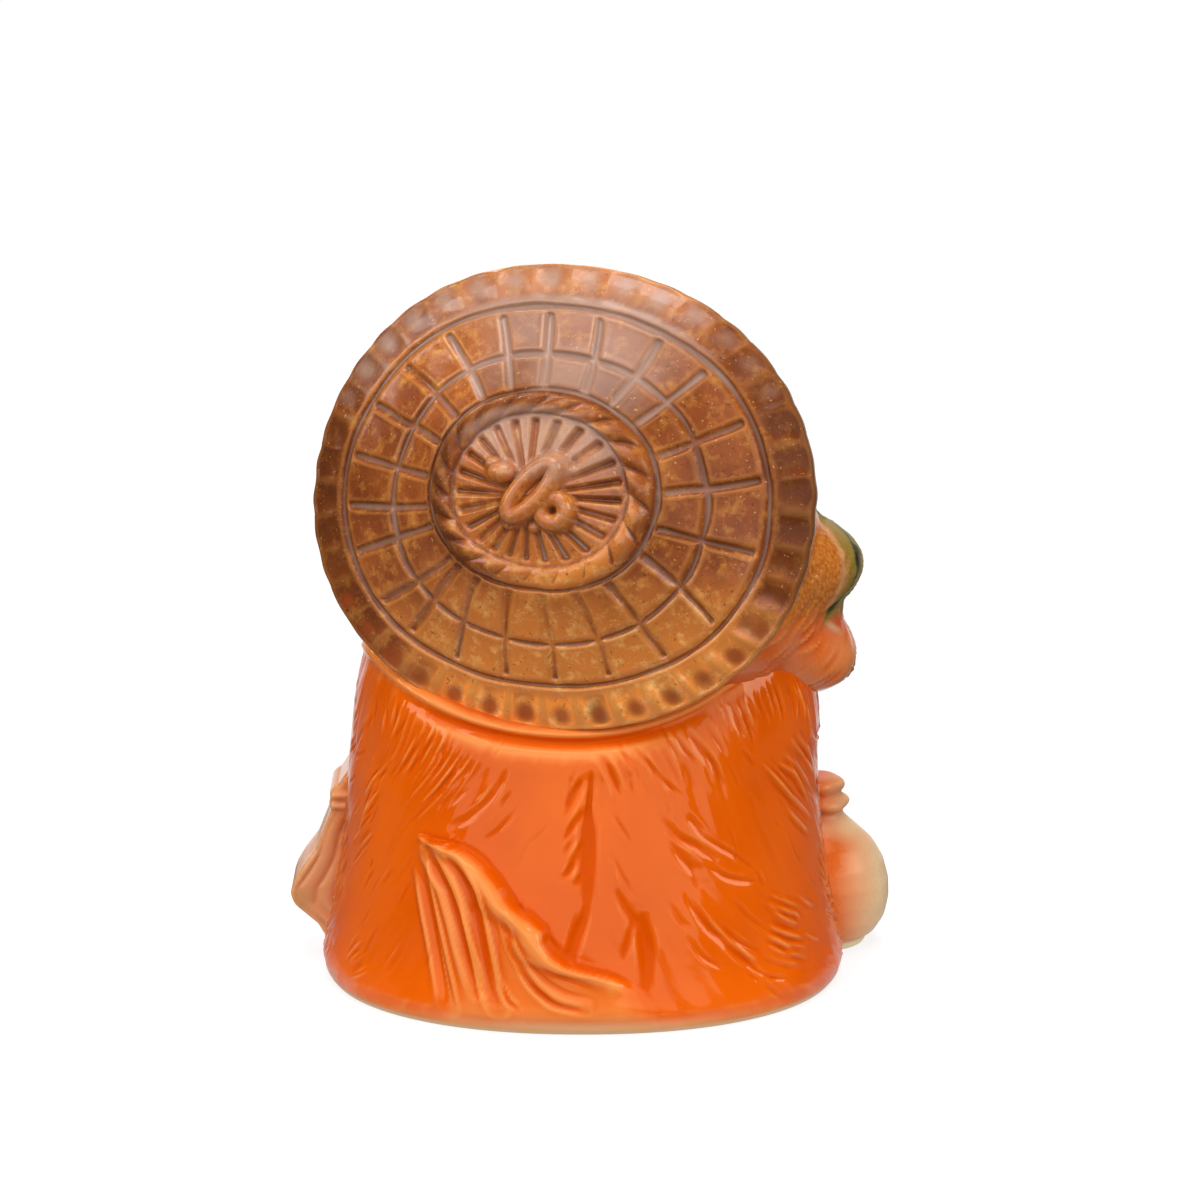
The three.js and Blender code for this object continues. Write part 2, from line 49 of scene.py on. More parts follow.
def through(stations):  # a smooth curve through (place, value) stations
    places, values = np.array(stations, float).T
    before, after = np.r_[0, 0:len(places) - 1], np.r_[1:len(places), len(places) - 1]
    slopes = (values[after] - values[before]) / (places[after] - places[before])

    def curve(at):
        at = np.asarray(at, float)
        i = np.clip(np.searchsorted(places, at, side="right") - 1, 0, len(places) - 2)
        span = places[i + 1] - places[i]
        t = np.clip((at - places[i]) / span, 0, 1)
        s = 1 - t
        ends = values[i] * (1 + 2 * t) * s * s + values[i + 1] * (3 - 2 * t) * t * t
        return ends + span * (slopes[i] * t * s * s - slopes[i + 1] * t * t * s)

    return curve


def hump(t):  # height 1 at 0, gone at a distance of 1
    return np.where(np.abs(t) < 1, 0.5 + 0.5 * np.cos(np.pi * np.clip(t, -1, 1)), 0)


def dome(t):  # a parabola of height 1 at 0, gone at a distance of 1
    return np.clip(1 - t ** 2, 0, 1)


def ease(value, start, end):  # 0 before start, 1 after end, smooth between
    t = np.clip((value - start) / (end - start), 0, 1)
    return t * t * (3 - 2 * t)


def fade(value, start, end):  # 1 before start, 0 after end
    return 1 - ease(value, start, end)


def squareRound(angle, power):  # superellipse radius for half sizes of 1
    return (np.abs(np.cos(angle)) ** power + np.abs(np.sin(angle)) ** power) ** (-1 / power)


def softNoise(points, grain, seed):  # smooth values from -1 to 1 that change over about one grain
    draw = np.random.default_rng(seed)
    order, value = draw.permutation(256), draw.uniform(-1, 1, 256)
    cell = np.asarray(points, float) / grain
    low = np.floor(cell).astype(int)
    part = cell - low
    part = part * part * (3 - 2 * part)
    total = np.zeros(cell.shape[:-1])
    for corner in range(8):
        step = np.array([corner & 1, corner >> 1 & 1, corner >> 2 & 1])
        at = (low + step) & 255
        weight = np.prod(np.where(step, part, 1 - part), axis=-1)
        total += weight * value[order[(order[(order[at[..., 0]] + at[..., 1]) & 255] + at[..., 2]) & 255]]
    return total


def wobble(values, seed):  # softNoise along one value
    return softNoise(stack(values, 7.3, 1.9), 1, seed)


def turns(count):
    return np.arange(count) / count * fullTurn


def pick(*pieces):  # only these are selected, and the first is active
    bpy.ops.object.select_all(action="DESELECT")
    for piece in pieces:
        piece.select_set(True)
    if pieces:
        bpy.context.view_layer.objects.active = pieces[0]


def closeSkin(piece):  # seams and poles merged, faces outwards
    pick(piece)
    bpy.ops.object.mode_set(mode="EDIT")
    bpy.ops.mesh.select_all(action="SELECT")
    bpy.ops.mesh.remove_doubles(threshold=0.0002 * mm)
    bpy.ops.mesh.normals_make_consistent(inside=False)
    bpy.ops.object.mode_set(mode="OBJECT")
    bpy.ops.object.shade_smooth()


def readValues(items, what, width=1, kind=float):
    flat = np.empty(width * len(items), kind)
    items.foreach_get(what, flat)
    return flat.reshape(-1, width)


def placesOf(piece):  # its points in mm
    return readValues(piece.data.vertices, "co", 3) / mm


def normalsOf(piece):
    return readValues(piece.data.vertices, "normal", 3)


def movePoints(piece, places):
    piece.data.vertices.foreach_set("co", np.ascontiguousarray(places * mm, float).ravel())
    piece.data.update()


def keepAttribute(piece, name, values):
    kind = "FLOAT_COLOR" if values.ndim == 2 else "FLOAT"
    found = piece.data.attributes.get(name) or piece.data.attributes.new(name, kind, "POINT")
    if kind == "FLOAT":
        found.data.foreach_set("value", values.astype(np.float32))
    else:
        found.data.foreach_set("color", np.c_[values, np.ones(len(values))].astype(np.float32).ravel())


def markHollows(piece, rounds, depth):  # glaze pools where the mesh is hollow and runs thin on its ridges
    at = placesOf(piece)
    a, b = readValues(piece.data.edges, "vertices", 2, int).T
    here, there = np.r_[a, b], np.r_[b, a]
    smooth, degree = at.copy(), np.bincount(here, minlength=len(at))[:, None]
    for _ in range(rounds):
        total = np.stack([np.bincount(here, smooth[there, i], len(at)) for i in range(3)], -1)
        smooth = 0.3 * smooth + 0.7 * total / degree
    hollow = np.einsum("ij,ij->i", smooth - at, normalsOf(piece)) / depth
    thin = piece.data.attributes.get("thin")  # where the glaze was brushed thinner, and on the body where highlights and shade are painted
    if thin:
        hollow = hollow - readValues(thin.data, "value")[:, 0]
    keepAttribute(piece, "pool", np.clip(hollow, -1, 1))


def wrapSheet(name, points, rounds, depth, **layers):  # points[row, column], rolled up and closed at both ends
    points[0], points[-1] = points[0].mean(0), points[-1].mean(0)
    rows, columns = len(points) - 1, points.shape[1]
    pick()
    bpy.ops.mesh.primitive_grid_add(x_subdivisions=columns, y_subdivisions=rows, size=1)
    piece = bpy.context.object
    piece.name = piece.data.name = name
    x, y = placesOf(piece).T[:2] * mm
    column = np.rint((x + 0.5) * columns).astype(int) % columns
    row = np.rint((0.5 - y) * rows).astype(int)
    movePoints(piece, points[row, column])
    for layer, values in layers.items():
        keepAttribute(piece, layer, values[row, column])
    closeSkin(piece)
    markHollows(piece, rounds, depth)
    return piece


# camera and light

view = {
    "target": (-2.6, 0, 62), "distance": 900, "elevation": 13, "lens": 165.2, "pixels": 6.39, "middle": 600,
}
viewUp = math.radians(view["elevation"])
seenFrom = np.array([0, math.cos(viewUp), math.sin(viewUp)])


def setCamera():
    camera = bpy.data.objects.new("camera", bpy.data.cameras.new("camera"))
    bpy.context.scene.collection.objects.link(camera)
    camera.data.lens = view["lens"]
    camera.location = (np.array(view["target"]) + view["distance"] * seenFrom) * mm
    camera.rotation_euler = (math.radians(90 - view["elevation"]), 0, math.radians(180))
    bpy.context.scene.camera = camera


studio = {
    "floorSize": 6, "floorGlow": (0.96, 0.76), "floorTone": (0.05, 0.25), "nearFloor": (0.08, 0.05),
    "nearLight": 0.35, "fade": (-0.68, -0.94), "room": (0.03, 0.8), "roughPaper": 0.9,
    "panels": {  # place, what it faces, size, power in watts
        "frontPanel": ((0.0, 1.05, 0.47), (0, 0, 0.2), (2.8, 0.94), 13.6),
        "highPanel": ((0.3, 0.64, 1.0), (0, 0, 0.06), (1.1, 0.8), 4.2),
        "facePanel": ((0.25, -0.85, 0.8), (0, 0, 0.06), (0.8, 0.8), 6),
        "topPanel": ((-0.1, 0.1, 1.2), (0, 0, 0.05), (0.9, 0.9), 9),
        "leftPanel": ((0.95, 0.3, 0.6), (0, 0, 0.05), (0.6, 0.6), 3.9),
        "rightPanel": ((-0.97, 0.26, 0.5), (0, 0, 0.05), (0.6, 0.6), 4.2),
    },
}


def colour(code):  # a web colour as linear light
    parts = [int(code[i:i + 2], 16) / 255 for i in (1, 3, 5)]
    return tuple(c / 12.92 if c <= 0.04045 else ((c + 0.055) / 1.055) ** 2.4 for c in parts) + (1,)


def feed(tree, node, feeds):  # each input gets another node's output, a web colour or a value
    for name, value in feeds.items():
        if isinstance(value, bpy.types.NodeSocket):
            tree.links.new(value, node.inputs[name])
        else:
            node.inputs[name].default_value = colour(value) if isinstance(value, str) else value


def addNode(tree, kind, feeds=None, **traits):
    node = tree.nodes.new("ShaderNode" + kind)
    for trait, value in traits.items():
        setattr(node, trait, value)
    feed(tree, node, feeds or {})
    return node


def spread(tree, value, low, high, start=0.0, end=1.0, way="LINEAR"):  # a value's range stretched and clamped
    feeds = {"Value": value, "From Min": low, "From Max": high, "To Min": start, "To Max": end}
    return addNode(tree, "MapRange", feeds, interpolation_type=way).outputs["Result"]


def blend(tree, amount, under, over, kind="RGBA"):
    mix = addNode(tree, "Mix", data_type=kind)
    inUse = [i for i, socket in enumerate(mix.inputs) if socket.enabled]
    feed(tree, mix, dict(zip(inUse, (amount, under, over))))
    return [socket for socket in mix.outputs if socket.enabled][0]


def newMaterial(name):
    material = bpy.data.materials.new(name)
    material.use_nodes = True
    return material, material.node_tree


def roomLight(tree, direction):  # dim round the camera, white behind the figure
    height = addNode(tree, "SeparateXYZ", {0: direction}).outputs["Y"]
    return spread(tree, height, *studio["fade"], *studio["room"], "SMOOTHSTEP")


def makeFloor():
    pick()
    bpy.ops.mesh.primitive_plane_add(size=studio["floorSize"], location=(0, 0, -0.05 * mm))
    floor = bpy.context.object
    floor.name = "floor"
    paper, tree = newMaterial("whitePaper")
    place = addNode(tree, "TexCoord").outputs["Object"]
    away = addNode(tree, "VectorMath", {0: place}, operation="LENGTH").outputs["Value"]
    direction = addNode(tree, "VectorMath", {0: place}, operation="NORMALIZE").outputs[0]
    # the paper round the foot catches more light, so that it shows a soft shadow; there it also glows for all
    # but camera rays, a painted light that the glaze reflects and that lights the figure from below
    near = spread(tree, away, *studio["nearFloor"])
    bounce = blend(tree, near, roomLight(tree, direction), studio["nearLight"], "FLOAT")
    seen = addNode(tree, "LightPath").outputs["Is Camera Ray"]
    glow = blend(tree, seen, bounce, blend(tree, near, *studio["floorGlow"], "FLOAT"), "FLOAT")
    feed(tree, tree.nodes["Principled BSDF"], {
        "Base Color": blend(tree, near, *studio["floorTone"], "FLOAT"), "Roughness": studio["roughPaper"],
        "Emission Color": "#FFFFFF", "Emission Strength": glow,
    })
    floor.data.materials.append(paper)


def hangLights():
    for name, (place, aim, size, power) in studio["panels"].items():
        light = bpy.data.lights.new(name, "AREA")
        light.shape = "ELLIPSE" if size[0] == size[1] else "RECTANGLE"
        light.size, light.size_y = size
        light.energy = power
        holder = bpy.data.objects.new(name, light)
        bpy.context.scene.collection.objects.link(holder)
        holder.location = place
        holder.rotation_euler = (Vector(place) - Vector(aim)).to_track_quat("Z", "Y").to_euler()
    world = bpy.data.worlds.new("studio")
    bpy.context.scene.world = world
    world.use_nodes = True
    tree = world.node_tree
    tree.nodes.clear()
    direction = addNode(tree, "TexCoord").outputs["Generated"]
    room = addNode(tree, "Background", {"Strength": roomLight(tree, direction)})
    white = addNode(tree, "Background", {"Color": "#FFFFFF"})
    seen = addNode(tree, "LightPath").outputs["Is Camera Ray"]
    choose = addNode(tree, "MixShader", {0: seen, 1: room.outputs[0], 2: white.outputs[0]})
    addNode(tree, "OutputWorld", {"Surface": choose.outputs[0]})
    bpy.context.scene.view_settings.view_transform = "Standard"


setCamera()
makeFloor()
hangLights()
print("camera and studio are set")

# glazes


def readAttribute(tree, name, output="Fac"):
    return addNode(tree, "Attribute", attribute_name=name).outputs[output]


def noise(tree, scale, detail, roughness=0.5):  # noise on Object coordinates
    where = addNode(tree, "TexCoord").outputs["Object"]
    feeds = {"Vector": where, "Scale": scale, "Detail": detail, "Roughness": roughness}
    return addNode(tree, "TexNoise", feeds).outputs["Fac"]


def coat(tree, base, shade, where, *reach):  # a coat over the base, where a value passes from low to high
    return blend(tree, spread(tree, where, *reach), base, shade)


def glossFinish(tree, base, smooth, rough, peelScale, peel, shine):
    uneven = spread(tree, noise(tree, 220, 2), 0.3, 0.7, smooth, rough)
    dull = addNode(tree, "Math", {0: uneven, 1: readAttribute(tree, "satin")})  # some parts shine less
    bump = addNode(tree, "Bump", {"Strength": 1, "Distance": peel * mm, "Height": noise(tree, peelScale, 2)})
    shader = tree.nodes["Principled BSDF"]
    shader.inputs["Specular IOR Level"].default_value = 0.36
    feed(tree, shader, {
        "Base Color": base, "Specular IOR Level": shine,
        "Roughness": dull.outputs[0], "Normal": bump.outputs[0],
    })
    return shader


def figureGlaze():  # orange all over, with cream, gold and dark painted zones from the piece's own attribute
    material, tree = newMaterial("figureGlaze")
    pool = readAttribute(tree, "pool")
    zones = addNode(tree, "SeparateColor", {0: readAttribute(tree, "zones", "Color")}).outputs
    base = blend(tree, spread(tree, noise(tree, 38, 3), 0.35, 0.65), "#E86206", "#D85402")
    # darker where the glaze pools, lighter where it runs thin; on the body these coats also paint highlights
    # and shade
    base = coat(tree, base, "#D04C00", pool, 0.05, 0.6)
    base = coat(tree, base, "#F4964A", pool, -0.2, -1.0, 0.0, 0.7)
    grain = spread(tree, noise(tree, 1400, 2), 0.35, 0.7)
    base = blend(tree, zones["Blue"], base, blend(tree, grain, "#AC581E", "#CA8036"))
    base = blend(tree, zones["Red"], base, blend(tree, grain, "#E6D6AC", "#DEC99A"))
    dark = blend(tree, spread(tree, noise(tree, 320, 3), 0.4, 0.62), "#1A160A", "#5C5420")
    base = coat(tree, base, "#84702A", zones["Green"], 0.0, 0.4)
    base = coat(tree, base, dark, zones["Green"], 0.5, 0.85)
    shader = glossFinish(tree, base, 0.07, 0.13, 520, 0.02, spread(tree, pool, 0.1, 0.5, 0.36, 0.06))
    shader.inputs["Specular Tint"].default_value = (1, 0.95, 0.62, 1)
    return material


def strawGlaze():  # mottled ochre and red-brown, speckled, taupe where it pools in the carved lines
    material, tree = newMaterial("strawGlaze")
    pool, toneShadeAndSheen = readAttribute(tree, "pool"), readAttribute(tree, "toneShadeAndSheen")
    base = blend(tree, spread(tree, noise(tree, 150, 5, 0.65), 0.36, 0.64), "#82401E", "#A45626")
    veins = spread(tree, noise(tree, 420, 4, 0.7), 0.5, 0.72)
    base = blend(tree, veins, base, "#C88038")
    # painted shade where the tone value falls below 0, painted sheen and yellower glaze where it rises
    base = coat(tree, base, "#532A14", toneShadeAndSheen, 0.0, -1.0)
    base = coat(tree, base, blend(tree, veins, "#F2923E", "#FFC474"), toneShadeAndSheen, 0.0, 1.0)
    base = coat(tree, base, "#40200F", noise(tree, 1500, 2), 0.66, 0.72, 0.0, 0.6)
    base = coat(tree, base, "#E0B069", noise(tree, 1900, 1), 0.7, 0.76, 0.0, 0.5)
    base = coat(tree, base, "#5E3018", pool, 0.1, 0.8, 0.0, 0.75)
    # ridges where the glaze runs thin show brighter, less so where the hat is painted darker as shade
    ridge, light = spread(tree, pool, -0.2, -0.9, 0.0, 0.5), spread(tree, toneShadeAndSheen, -0.5, 0.1, 0.35, 1.0)
    ridge = addNode(tree, "Math", {0: ridge, 1: light}, operation="MULTIPLY").outputs[0]
    base = blend(tree, ridge, base, "#C4803C")
    # milky glaze in the grooves, and a painted sheen at the top of the hat
    base = coat(tree, base, "#A88978", readAttribute(tree, "milk"), 0.3, 1.0, 0.0, 0.75)
    base = coat(tree, base, "#9C481E", readAttribute(tree, "spot"), 0.15, 0.8, 0.0, 0.8)
    glossFinish(tree, base, 0.14, 0.26, 700, 0.03, spread(tree, toneShadeAndSheen, -0.4, 0.05, 0.1, 0.48))
    return material


orange, straw = figureGlaze(), strawGlaze()


def handIn(piece, zones=None, glaze=orange):  # zones are shares of cream, dark and gold
    if zones:
        keepAttribute(piece, "zones", stack(*zones))
    piece.data.materials.clear()
    piece.data.materials.append(glaze)
    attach(piece, "root")
    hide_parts("figurine")
    print("made", piece.name, len(piece.data.polygons), "faces")


# hat

hat = {
    "centre": (3.6, 20, 83.5), "halfWidth": 42, "halfHeight": 37.1, "meanRadius": 39.5, "yaw": 18, "pitch": 12,
    "squareness": 2.12, "worn": ((50, 60, 0.018), (152, 40, 0.018)), "clay": (42, 37),
    "spokesOut": (
        9, 27, 45, 61, 80, 94, 108, 125, 140, 155, 171, 187, 201, 217, 230, 245, 260, 274, 290, 306, 323, 347,
    ),
    "spokesIn": (
        5, 23, 42, 57, 71, 91, 107, 121, 138, 154, 173, 190, 201, 222, 228, 240, 258, 276, 293, 310, 332, 347,
    ),
    "spokeFrom": 0.465, "spokeTo": 0.815, "stepsPerSpoke": 22, "grooveHalf": 0.9, "grooveDepth": 0.75,
    "rings": (  # reach, half width in mm, shift across and up, flattening
        (0.447, 0.5, 0.022, 0.026, 0.05), (0.617, 0.7, 0.014, -0.01, 0), (0.845, 0.7, 0, 0, 0.043),
    ),
    "rim": ((0.994, 0.9), (1.0, 0.1), (1.0, -1.0), (0.994, -2.2), (0.98, -3.1)),  # reach and height
    "dimples": 40, "dimpleDepth": 0.62, "scallop": 0.005, "ropeInward": 0.055, "ropeRadius": 1.85,
    "ropeTurns": 20, "flutes": 24, "strawLines": 66,
    "cords": (  # of the knot: length, width, tilt, middle across and up, thickness, rise
        (5.2, 1.75, 50, 0.7, 0.9, 1.45, 0.9), (2.0, 1.9, 0, 4.2, -2.1, 1.35, 0.3),
    ),
    "ends": (  # lumps of the knot: across, up, half width, half height, rise
        (-4.6, 3.3, 2.3, 1.7, 0.3), (-6.3, 4.6, 1.3, 1.0, -0.4), (-2.9, -4.6, 1.3, 1.0, -0.5),
        (1.0, -4.9, 1.0, 0.9, -0.6),
    ),
}
hatMiddle, hatYaw, hatPitch = np.array(hat["centre"]), math.radians(hat["yaw"]), math.radians(hat["pitch"])
hatOut = np.array([
    math.sin(hatYaw) * math.cos(hatPitch), math.cos(hatYaw) * math.cos(hatPitch), math.sin(hatPitch),
])
hatAcross = np.array([-math.cos(hatYaw), math.sin(hatYaw), 0])
hatUp = -np.cross(hatAcross, hatOut)
hatTop = through([(0, 17.2), (0.335, 14.3), (0.43, 12.6), (0.6, 8.6), (0.845, 3.6), (0.93, 2.4), (1, 0.6)])


def hatSize(angle):
    worn = sum(share * hump((angle - math.radians(at)) / math.radians(wide)) for at, wide, share in hat["worn"])
    return squareRound(angle, hat["squareness"]) * (1 - worn)


def ringReach(ring, angle):  # the thrown rings are a little off centre and flattened
    reach, _, across, up, flat = hat["rings"][ring]
    return reach * (1 - flat * np.sin(angle) ** 2) + across * np.cos(angle) + up * np.sin(angle)


def awayFromCord(across, up, length, width, tilt, middleX, middleY):  # distance from each place to an oval cord
    t, tilt = np.linspace(0, fullTurn, 40), math.radians(tilt)
    x, y = length * np.cos(t), width * np.sin(t)
    x, y = middleX + x * math.cos(tilt) - y * math.sin(tilt), middleY + x * math.sin(tilt) + y * math.cos(tilt)
    return awayFromLine(across, up, stack(x, y))[0]


def awayFromLine(across, up, line):  # distance of each place from a line of points, and how far along it lies
    best, place = np.full(across.shape, 1e9), np.zeros(across.shape)
    for i, ((ax, ay), (bx, by)) in enumerate(zip(line[:-1], line[1:])):
        dx, dy = bx - ax, by - ay
        t = np.clip(((across - ax) * dx + (up - ay) * dy) / (dx * dx + dy * dy), 0, 1)
        away = np.hypot(across - ax - t * dx, up - ay - t * dy)
        nearer = away < best
        best, place = np.where(nearer, away, best), np.where(nearer, (i + t) / (len(line) - 1), place)
    return best, place


def tieKnot(lift, across, up):
    forms = [(awayFromCord(across, up, *line) / thick, thick, rise) for *line, thick, rise in hat["cords"]]
    for x, y, wide, tall, rise in hat["ends"]:
        forms.append((np.hypot((across - x) / wide, (up - y) / tall), tall, rise))
    for away, thick, rise in forms:
        form = hatTop(0) + rise - 1 + 1.2 * thick * np.sqrt(dome(away)) - 3 * np.maximum(away - 1, 0)
        form = np.maximum(form, lift - 4)
        lift = np.maximum(lift, form) + 0.18 * np.exp(-np.abs(lift - form) / 0.3)
    return lift


def makeHat():
    reach = np.r_[np.arange(0, 0.45, 0.0047), np.linspace(0.45, 0.985, 76)]
    lipReach, lipLift = np.array(hat["rim"]).T
    rows, lipRows = len(reach), len(reach) + len(lipReach)
    reach = np.r_[reach, lipReach, np.linspace(0.95, 0, 15)][:, None]
    # columns follow the carved spokes
    out, into = [np.radians(np.r_[hat[name], hat[name][0] + 360]) for name in ("spokesOut", "spokesIn")]
    spokes, steps = len(hat["spokesOut"]), hat["stepsPerSpoke"]
    along = np.clip((reach - hat["spokeFrom"]) / (hat["spokeTo"] - hat["spokeFrom"]), 0, 1)
    bend = 0.008 * wobble(reach * 9 + np.arange(spokes + 1) % spokes * 5.0, 3)
    line = into + (out - into) * along + bend * ease(reach, 0.1, 0.4)
    sector, part = np.divmod(np.arange(spokes * steps), steps)
    part = part / steps
    part = part - 0.55 * np.sin(fullTurn * part) / fullTurn
    before, after = line[:, sector], line[:, sector + 1]
    angle = before * (1 - part) + after * part
    size = hatSize(angle)
    radial = size * hat["meanRadius"]
    nearSpoke = np.minimum(angle - before, after - angle) * reach * radial
    cos, sin = np.cos(angle), np.sin(angle)
    clay = stack(cos * reach * hat["clay"][0], sin * reach * hat["clay"][1], 0)
    lift = hatTop(np.clip(reach, 0, 1)) + 0.16 * softNoise(clay, 7, 11) + 0.06 * softNoise(clay, 2.4, 12)

    handWidth = 1 + 0.25 * softNoise(clay, 5, 13)
    inside, outside = ringReach(0, angle) + 0.018, ringReach(2, angle) - 0.03
    within = ease(reach - inside, -0.012, 0.008) * fade(reach - outside, -0.006, 0.014)
    groove = within * dome(nearSpoke / (hat["grooveHalf"] * handWidth)) ** 1.2
    lip = within * hump((nearSpoke - 1.15) / 0.45)
    for ring, (_, half, *_) in enumerate(hat["rings"]):
        shake = softNoise(stack(cos * 4, sin * 4, ring * 5), 1, 5)
        off = np.abs(reach - ringReach(ring, angle) - 0.005 * shake) * radial
        groove = np.maximum(groove, dome(off / (half * handWidth)) ** 1.2)
        lip = np.maximum(lip, 0.8 * hump((off - 1.1) / 0.4))
    lift += 0.1 * lip * (1 - groove) - hat["grooveDepth"] * (1 + 0.3 * softNoise(clay, 6, 14)) * groove

    # rim band of pressed dimples
    order, aside = np.divmod(angle / (fullTurn / hat["dimples"]), 1)
    shake = wobble(order * 3.7, 21)
    aside = (aside - 0.5 - 0.05 * shake) * 2 / 0.92
    bandIn = ringReach(2, angle) + 0.028
    outward = (reach - (bandIn + 1.01) / 2) / ((1.01 - bandIn) / 2)
    low = ease(-sin, 0.35, 0.75)
    arch = 1 + 0.25 * aside ** 2 * (outward < 0)
    press = np.clip(1 - np.abs(aside) ** 2.4, 0, 1) * np.clip(1 - np.abs(outward * arch) ** 3, 0, 1)
    dimple = press * (1 + 0.25 * wobble(order * 2.3, 22)) * (1 - low) * (0.62 + 0.38 * np.abs(cos))
    spot = hump(np.hypot(aside / 0.95, (outward - 0.15) / 0.82)) * (1 + 0.3 * shake)
    divide = ease(np.abs(aside), 0.72, 1.0) * ease(outward, -1.1, -0.8) * fade(outward, 0.6, 0.95)
    lift -= hat["dimpleDepth"] * dimple + low * (0.4 * press + 0.3 * spot - 0.12 * divide)

    # twisted rope round the crown, worn and flatter at its lower side
    off = (reach - ringReach(0, angle) + hat["ropeInward"]) * radial
    radius = hat["ropeRadius"] * (1 + 0.1 * softNoise(clay, 4, 31))
    strand = np.abs(np.sin(np.pi * (hat["ropeTurns"] * angle / fullTurn + 0.17 * off))) ** 0.8
    worn = 1 - 0.4 * ease(-sin, 0.5, 1)
    twist = 0.3 + 0.64 * (0.6 + (strand - 0.6) * worn)
    rope = radius * np.sqrt(dome(off / radius)) * (1 - 0.3 * ease(-sin, 0.3, 0.9)) * twist
    # fluted crown
    fluteAt = hat["flutes"] * angle / fullTurn + 0.12 * np.sin(angle * 3)
    fluteOff = np.abs(fluteAt - np.rint(fluteAt)) / hat["flutes"] * fullTurn * reach * radial
    crown = ease(reach, 0.07, 0.12) * fade(reach - ringReach(0, angle) + 0.125, -0.012, 0.012)
    flute = crown * hump(fluteOff / (0.45 + 1.9 * reach)) * (1 + 0.3 * softNoise(clay, 3, 16))
    across, up = reach * size * hat["halfWidth"] * cos, reach * size * hat["halfHeight"] * sin
    lift = tieKnot(lift - flute + rope, across, up)

    lift[rows:lipRows] = lipLift[:, None] + 0.12 * softNoise(clay[rows:lipRows], 6, 15)
    under = reach[lipRows:]
    straws = 0.25 * np.sin(angle[lipRows:] * hat["strawLines"]) * ease(under, 0.1, 0.3)
    lift[lipRows:] = 7.2 * (1 - under) - 3.4 + straws
    scallop = hat["scallop"] * (0.2 + 0.8 * np.abs(cos)) * (1 + 0.8 * wobble(order * 1.7, 23))
    scallop = 1 - scallop * (0.5 + 0.5 * np.cos(angle * hat["dimples"])) * ease(reach, 0.9, 0.985)
    points = stack(across * scallop, up * scallop, lift) @ np.array([hatAcross, hatUp, hatOut]) + hatMiddle

    # milky glaze pooled in the grooves and flutes, a painted sheen on the crown, the upper panels and the upper
    # dimples, brown spots in the lower dimples
    sheen = 0.85 * ease(0.42 - reach, 0, 0.06) * ease(np.sin(angle + 0.15), 0, 0.9) * (1 - 0.4 * flute)
    panelSheen = ease(reach, 0.42, 0.5) * fade(reach, 0.84, 0.88) * ease(np.sin(angle + 0.1), 0.55, 1)
    panelSheen = (0.72 + 0.15 * softNoise(clay, 5, 18)) * panelSheen
    sheen = np.maximum(sheen * ease(reach, 0.01, 0.13), panelSheen)
    # the upper dimples painted paler, a painted sheen
    rimTop = ease(outward, -1.2, -0.9) * ease(sin, 0.1, 0.6) * (1 - 0.5 * ease(cos, 0.35, 0.75))
    grooveMilk = 0.9 * (0.7 + 0.3 * softNoise(clay, 6, 17) - 0.3 * low) * groove ** 1.5
    milk = grooveMilk + 0.7 * fade(sin, -0.5, 0.2) * flute ** 2 + (0.52 + 0.48 * spot) * rimTop + sheen
    spot = spot * ease(-sin, 0.35, 0.6)
    milk, spot = [np.clip(layer, 0, 1) * (np.arange(len(reach)) < rows)[:, None] for layer in (milk, spot)]
    piece = wrapSheet("straw_hat", points, 12, 0.2, milk=milk, spot=spot, thin=0.6 * low * divide)
    keepAttribute(piece, "toneShadeAndSheen", hatToneShadeAndSheen(placesOf(piece) - hatMiddle))
    handIn(piece, glaze=straw)


def hatToneShadeAndSheen(at):  # painted shade and sheen: darker towards the rim's left and right and at its upper right, paler at the top, with the glaze yellower at the bottom
    x, y = at @ hatAcross / hat["halfWidth"], at @ hatUp / hat["halfHeight"]
    far = np.hypot(x, y)
    rim, safe = ease(far, 0.84, 0.9), np.maximum(far, 0.01)
    bottom = ease((0.3 * x - 0.95 * y) / safe, 0.5, 0.85)
    toneShadeAndSheen = 0.3 * np.abs(y) / safe + bottom - 0.8 * (np.abs(x) / safe) ** 2 - 0.2 * ease(far, 0.985, 1)
    toneShadeAndSheen = rim * (toneShadeAndSheen - 0.3 * ease(x, 0.35, 0.65) * ease(y, 0.2, 0.6))
    # painted light and shade: the panels lighter low on the left and darker on the right, the crown paler as a
    # painted sheen, the inner top darker as a painted shade, the rope lighter at its lower right and darker at
    # its left
    panels = 0.5 * ease(0.25 * x - y, 0.1, 0.8) + 0.15 * ease(-y, 0.4, 0.7)
    panels -= 0.36 * ease(x, 0.1, 0.5) * ease(y, -0.5, -0.1)
    panels -= 0.3 * ease(-x, 0.15, 0.6) * hump(y / 0.7) - 0.2 * ease(-x, 0.1, 0.5) * ease(y, 0.2, 0.6)
    toneShadeAndSheen += (1 - rim) * panels + 0.25 * fade(far, 0.3, 0.4)
    innerTop = hump((far - 0.5) / 0.16) * ease(y / safe, 0.4, 0.9)
    toneShadeAndSheen -= 0.5 * innerTop * (1 - 1.1 * ease(-x, 0.12, 0.32))
    toneShadeAndSheen += 0.2 * hump((far - 0.53) / 0.12) * ease(-x - y, 0.2, 0.6)
    rope = hump((far - 0.385) / 0.08)
    return np.clip(toneShadeAndSheen + 0.6 * rope * (ease(x - y, 0.2, 0.5) - ease(0.3 * y - x, -0.05, 0.25)), -1, 1)


makeHat()

# body

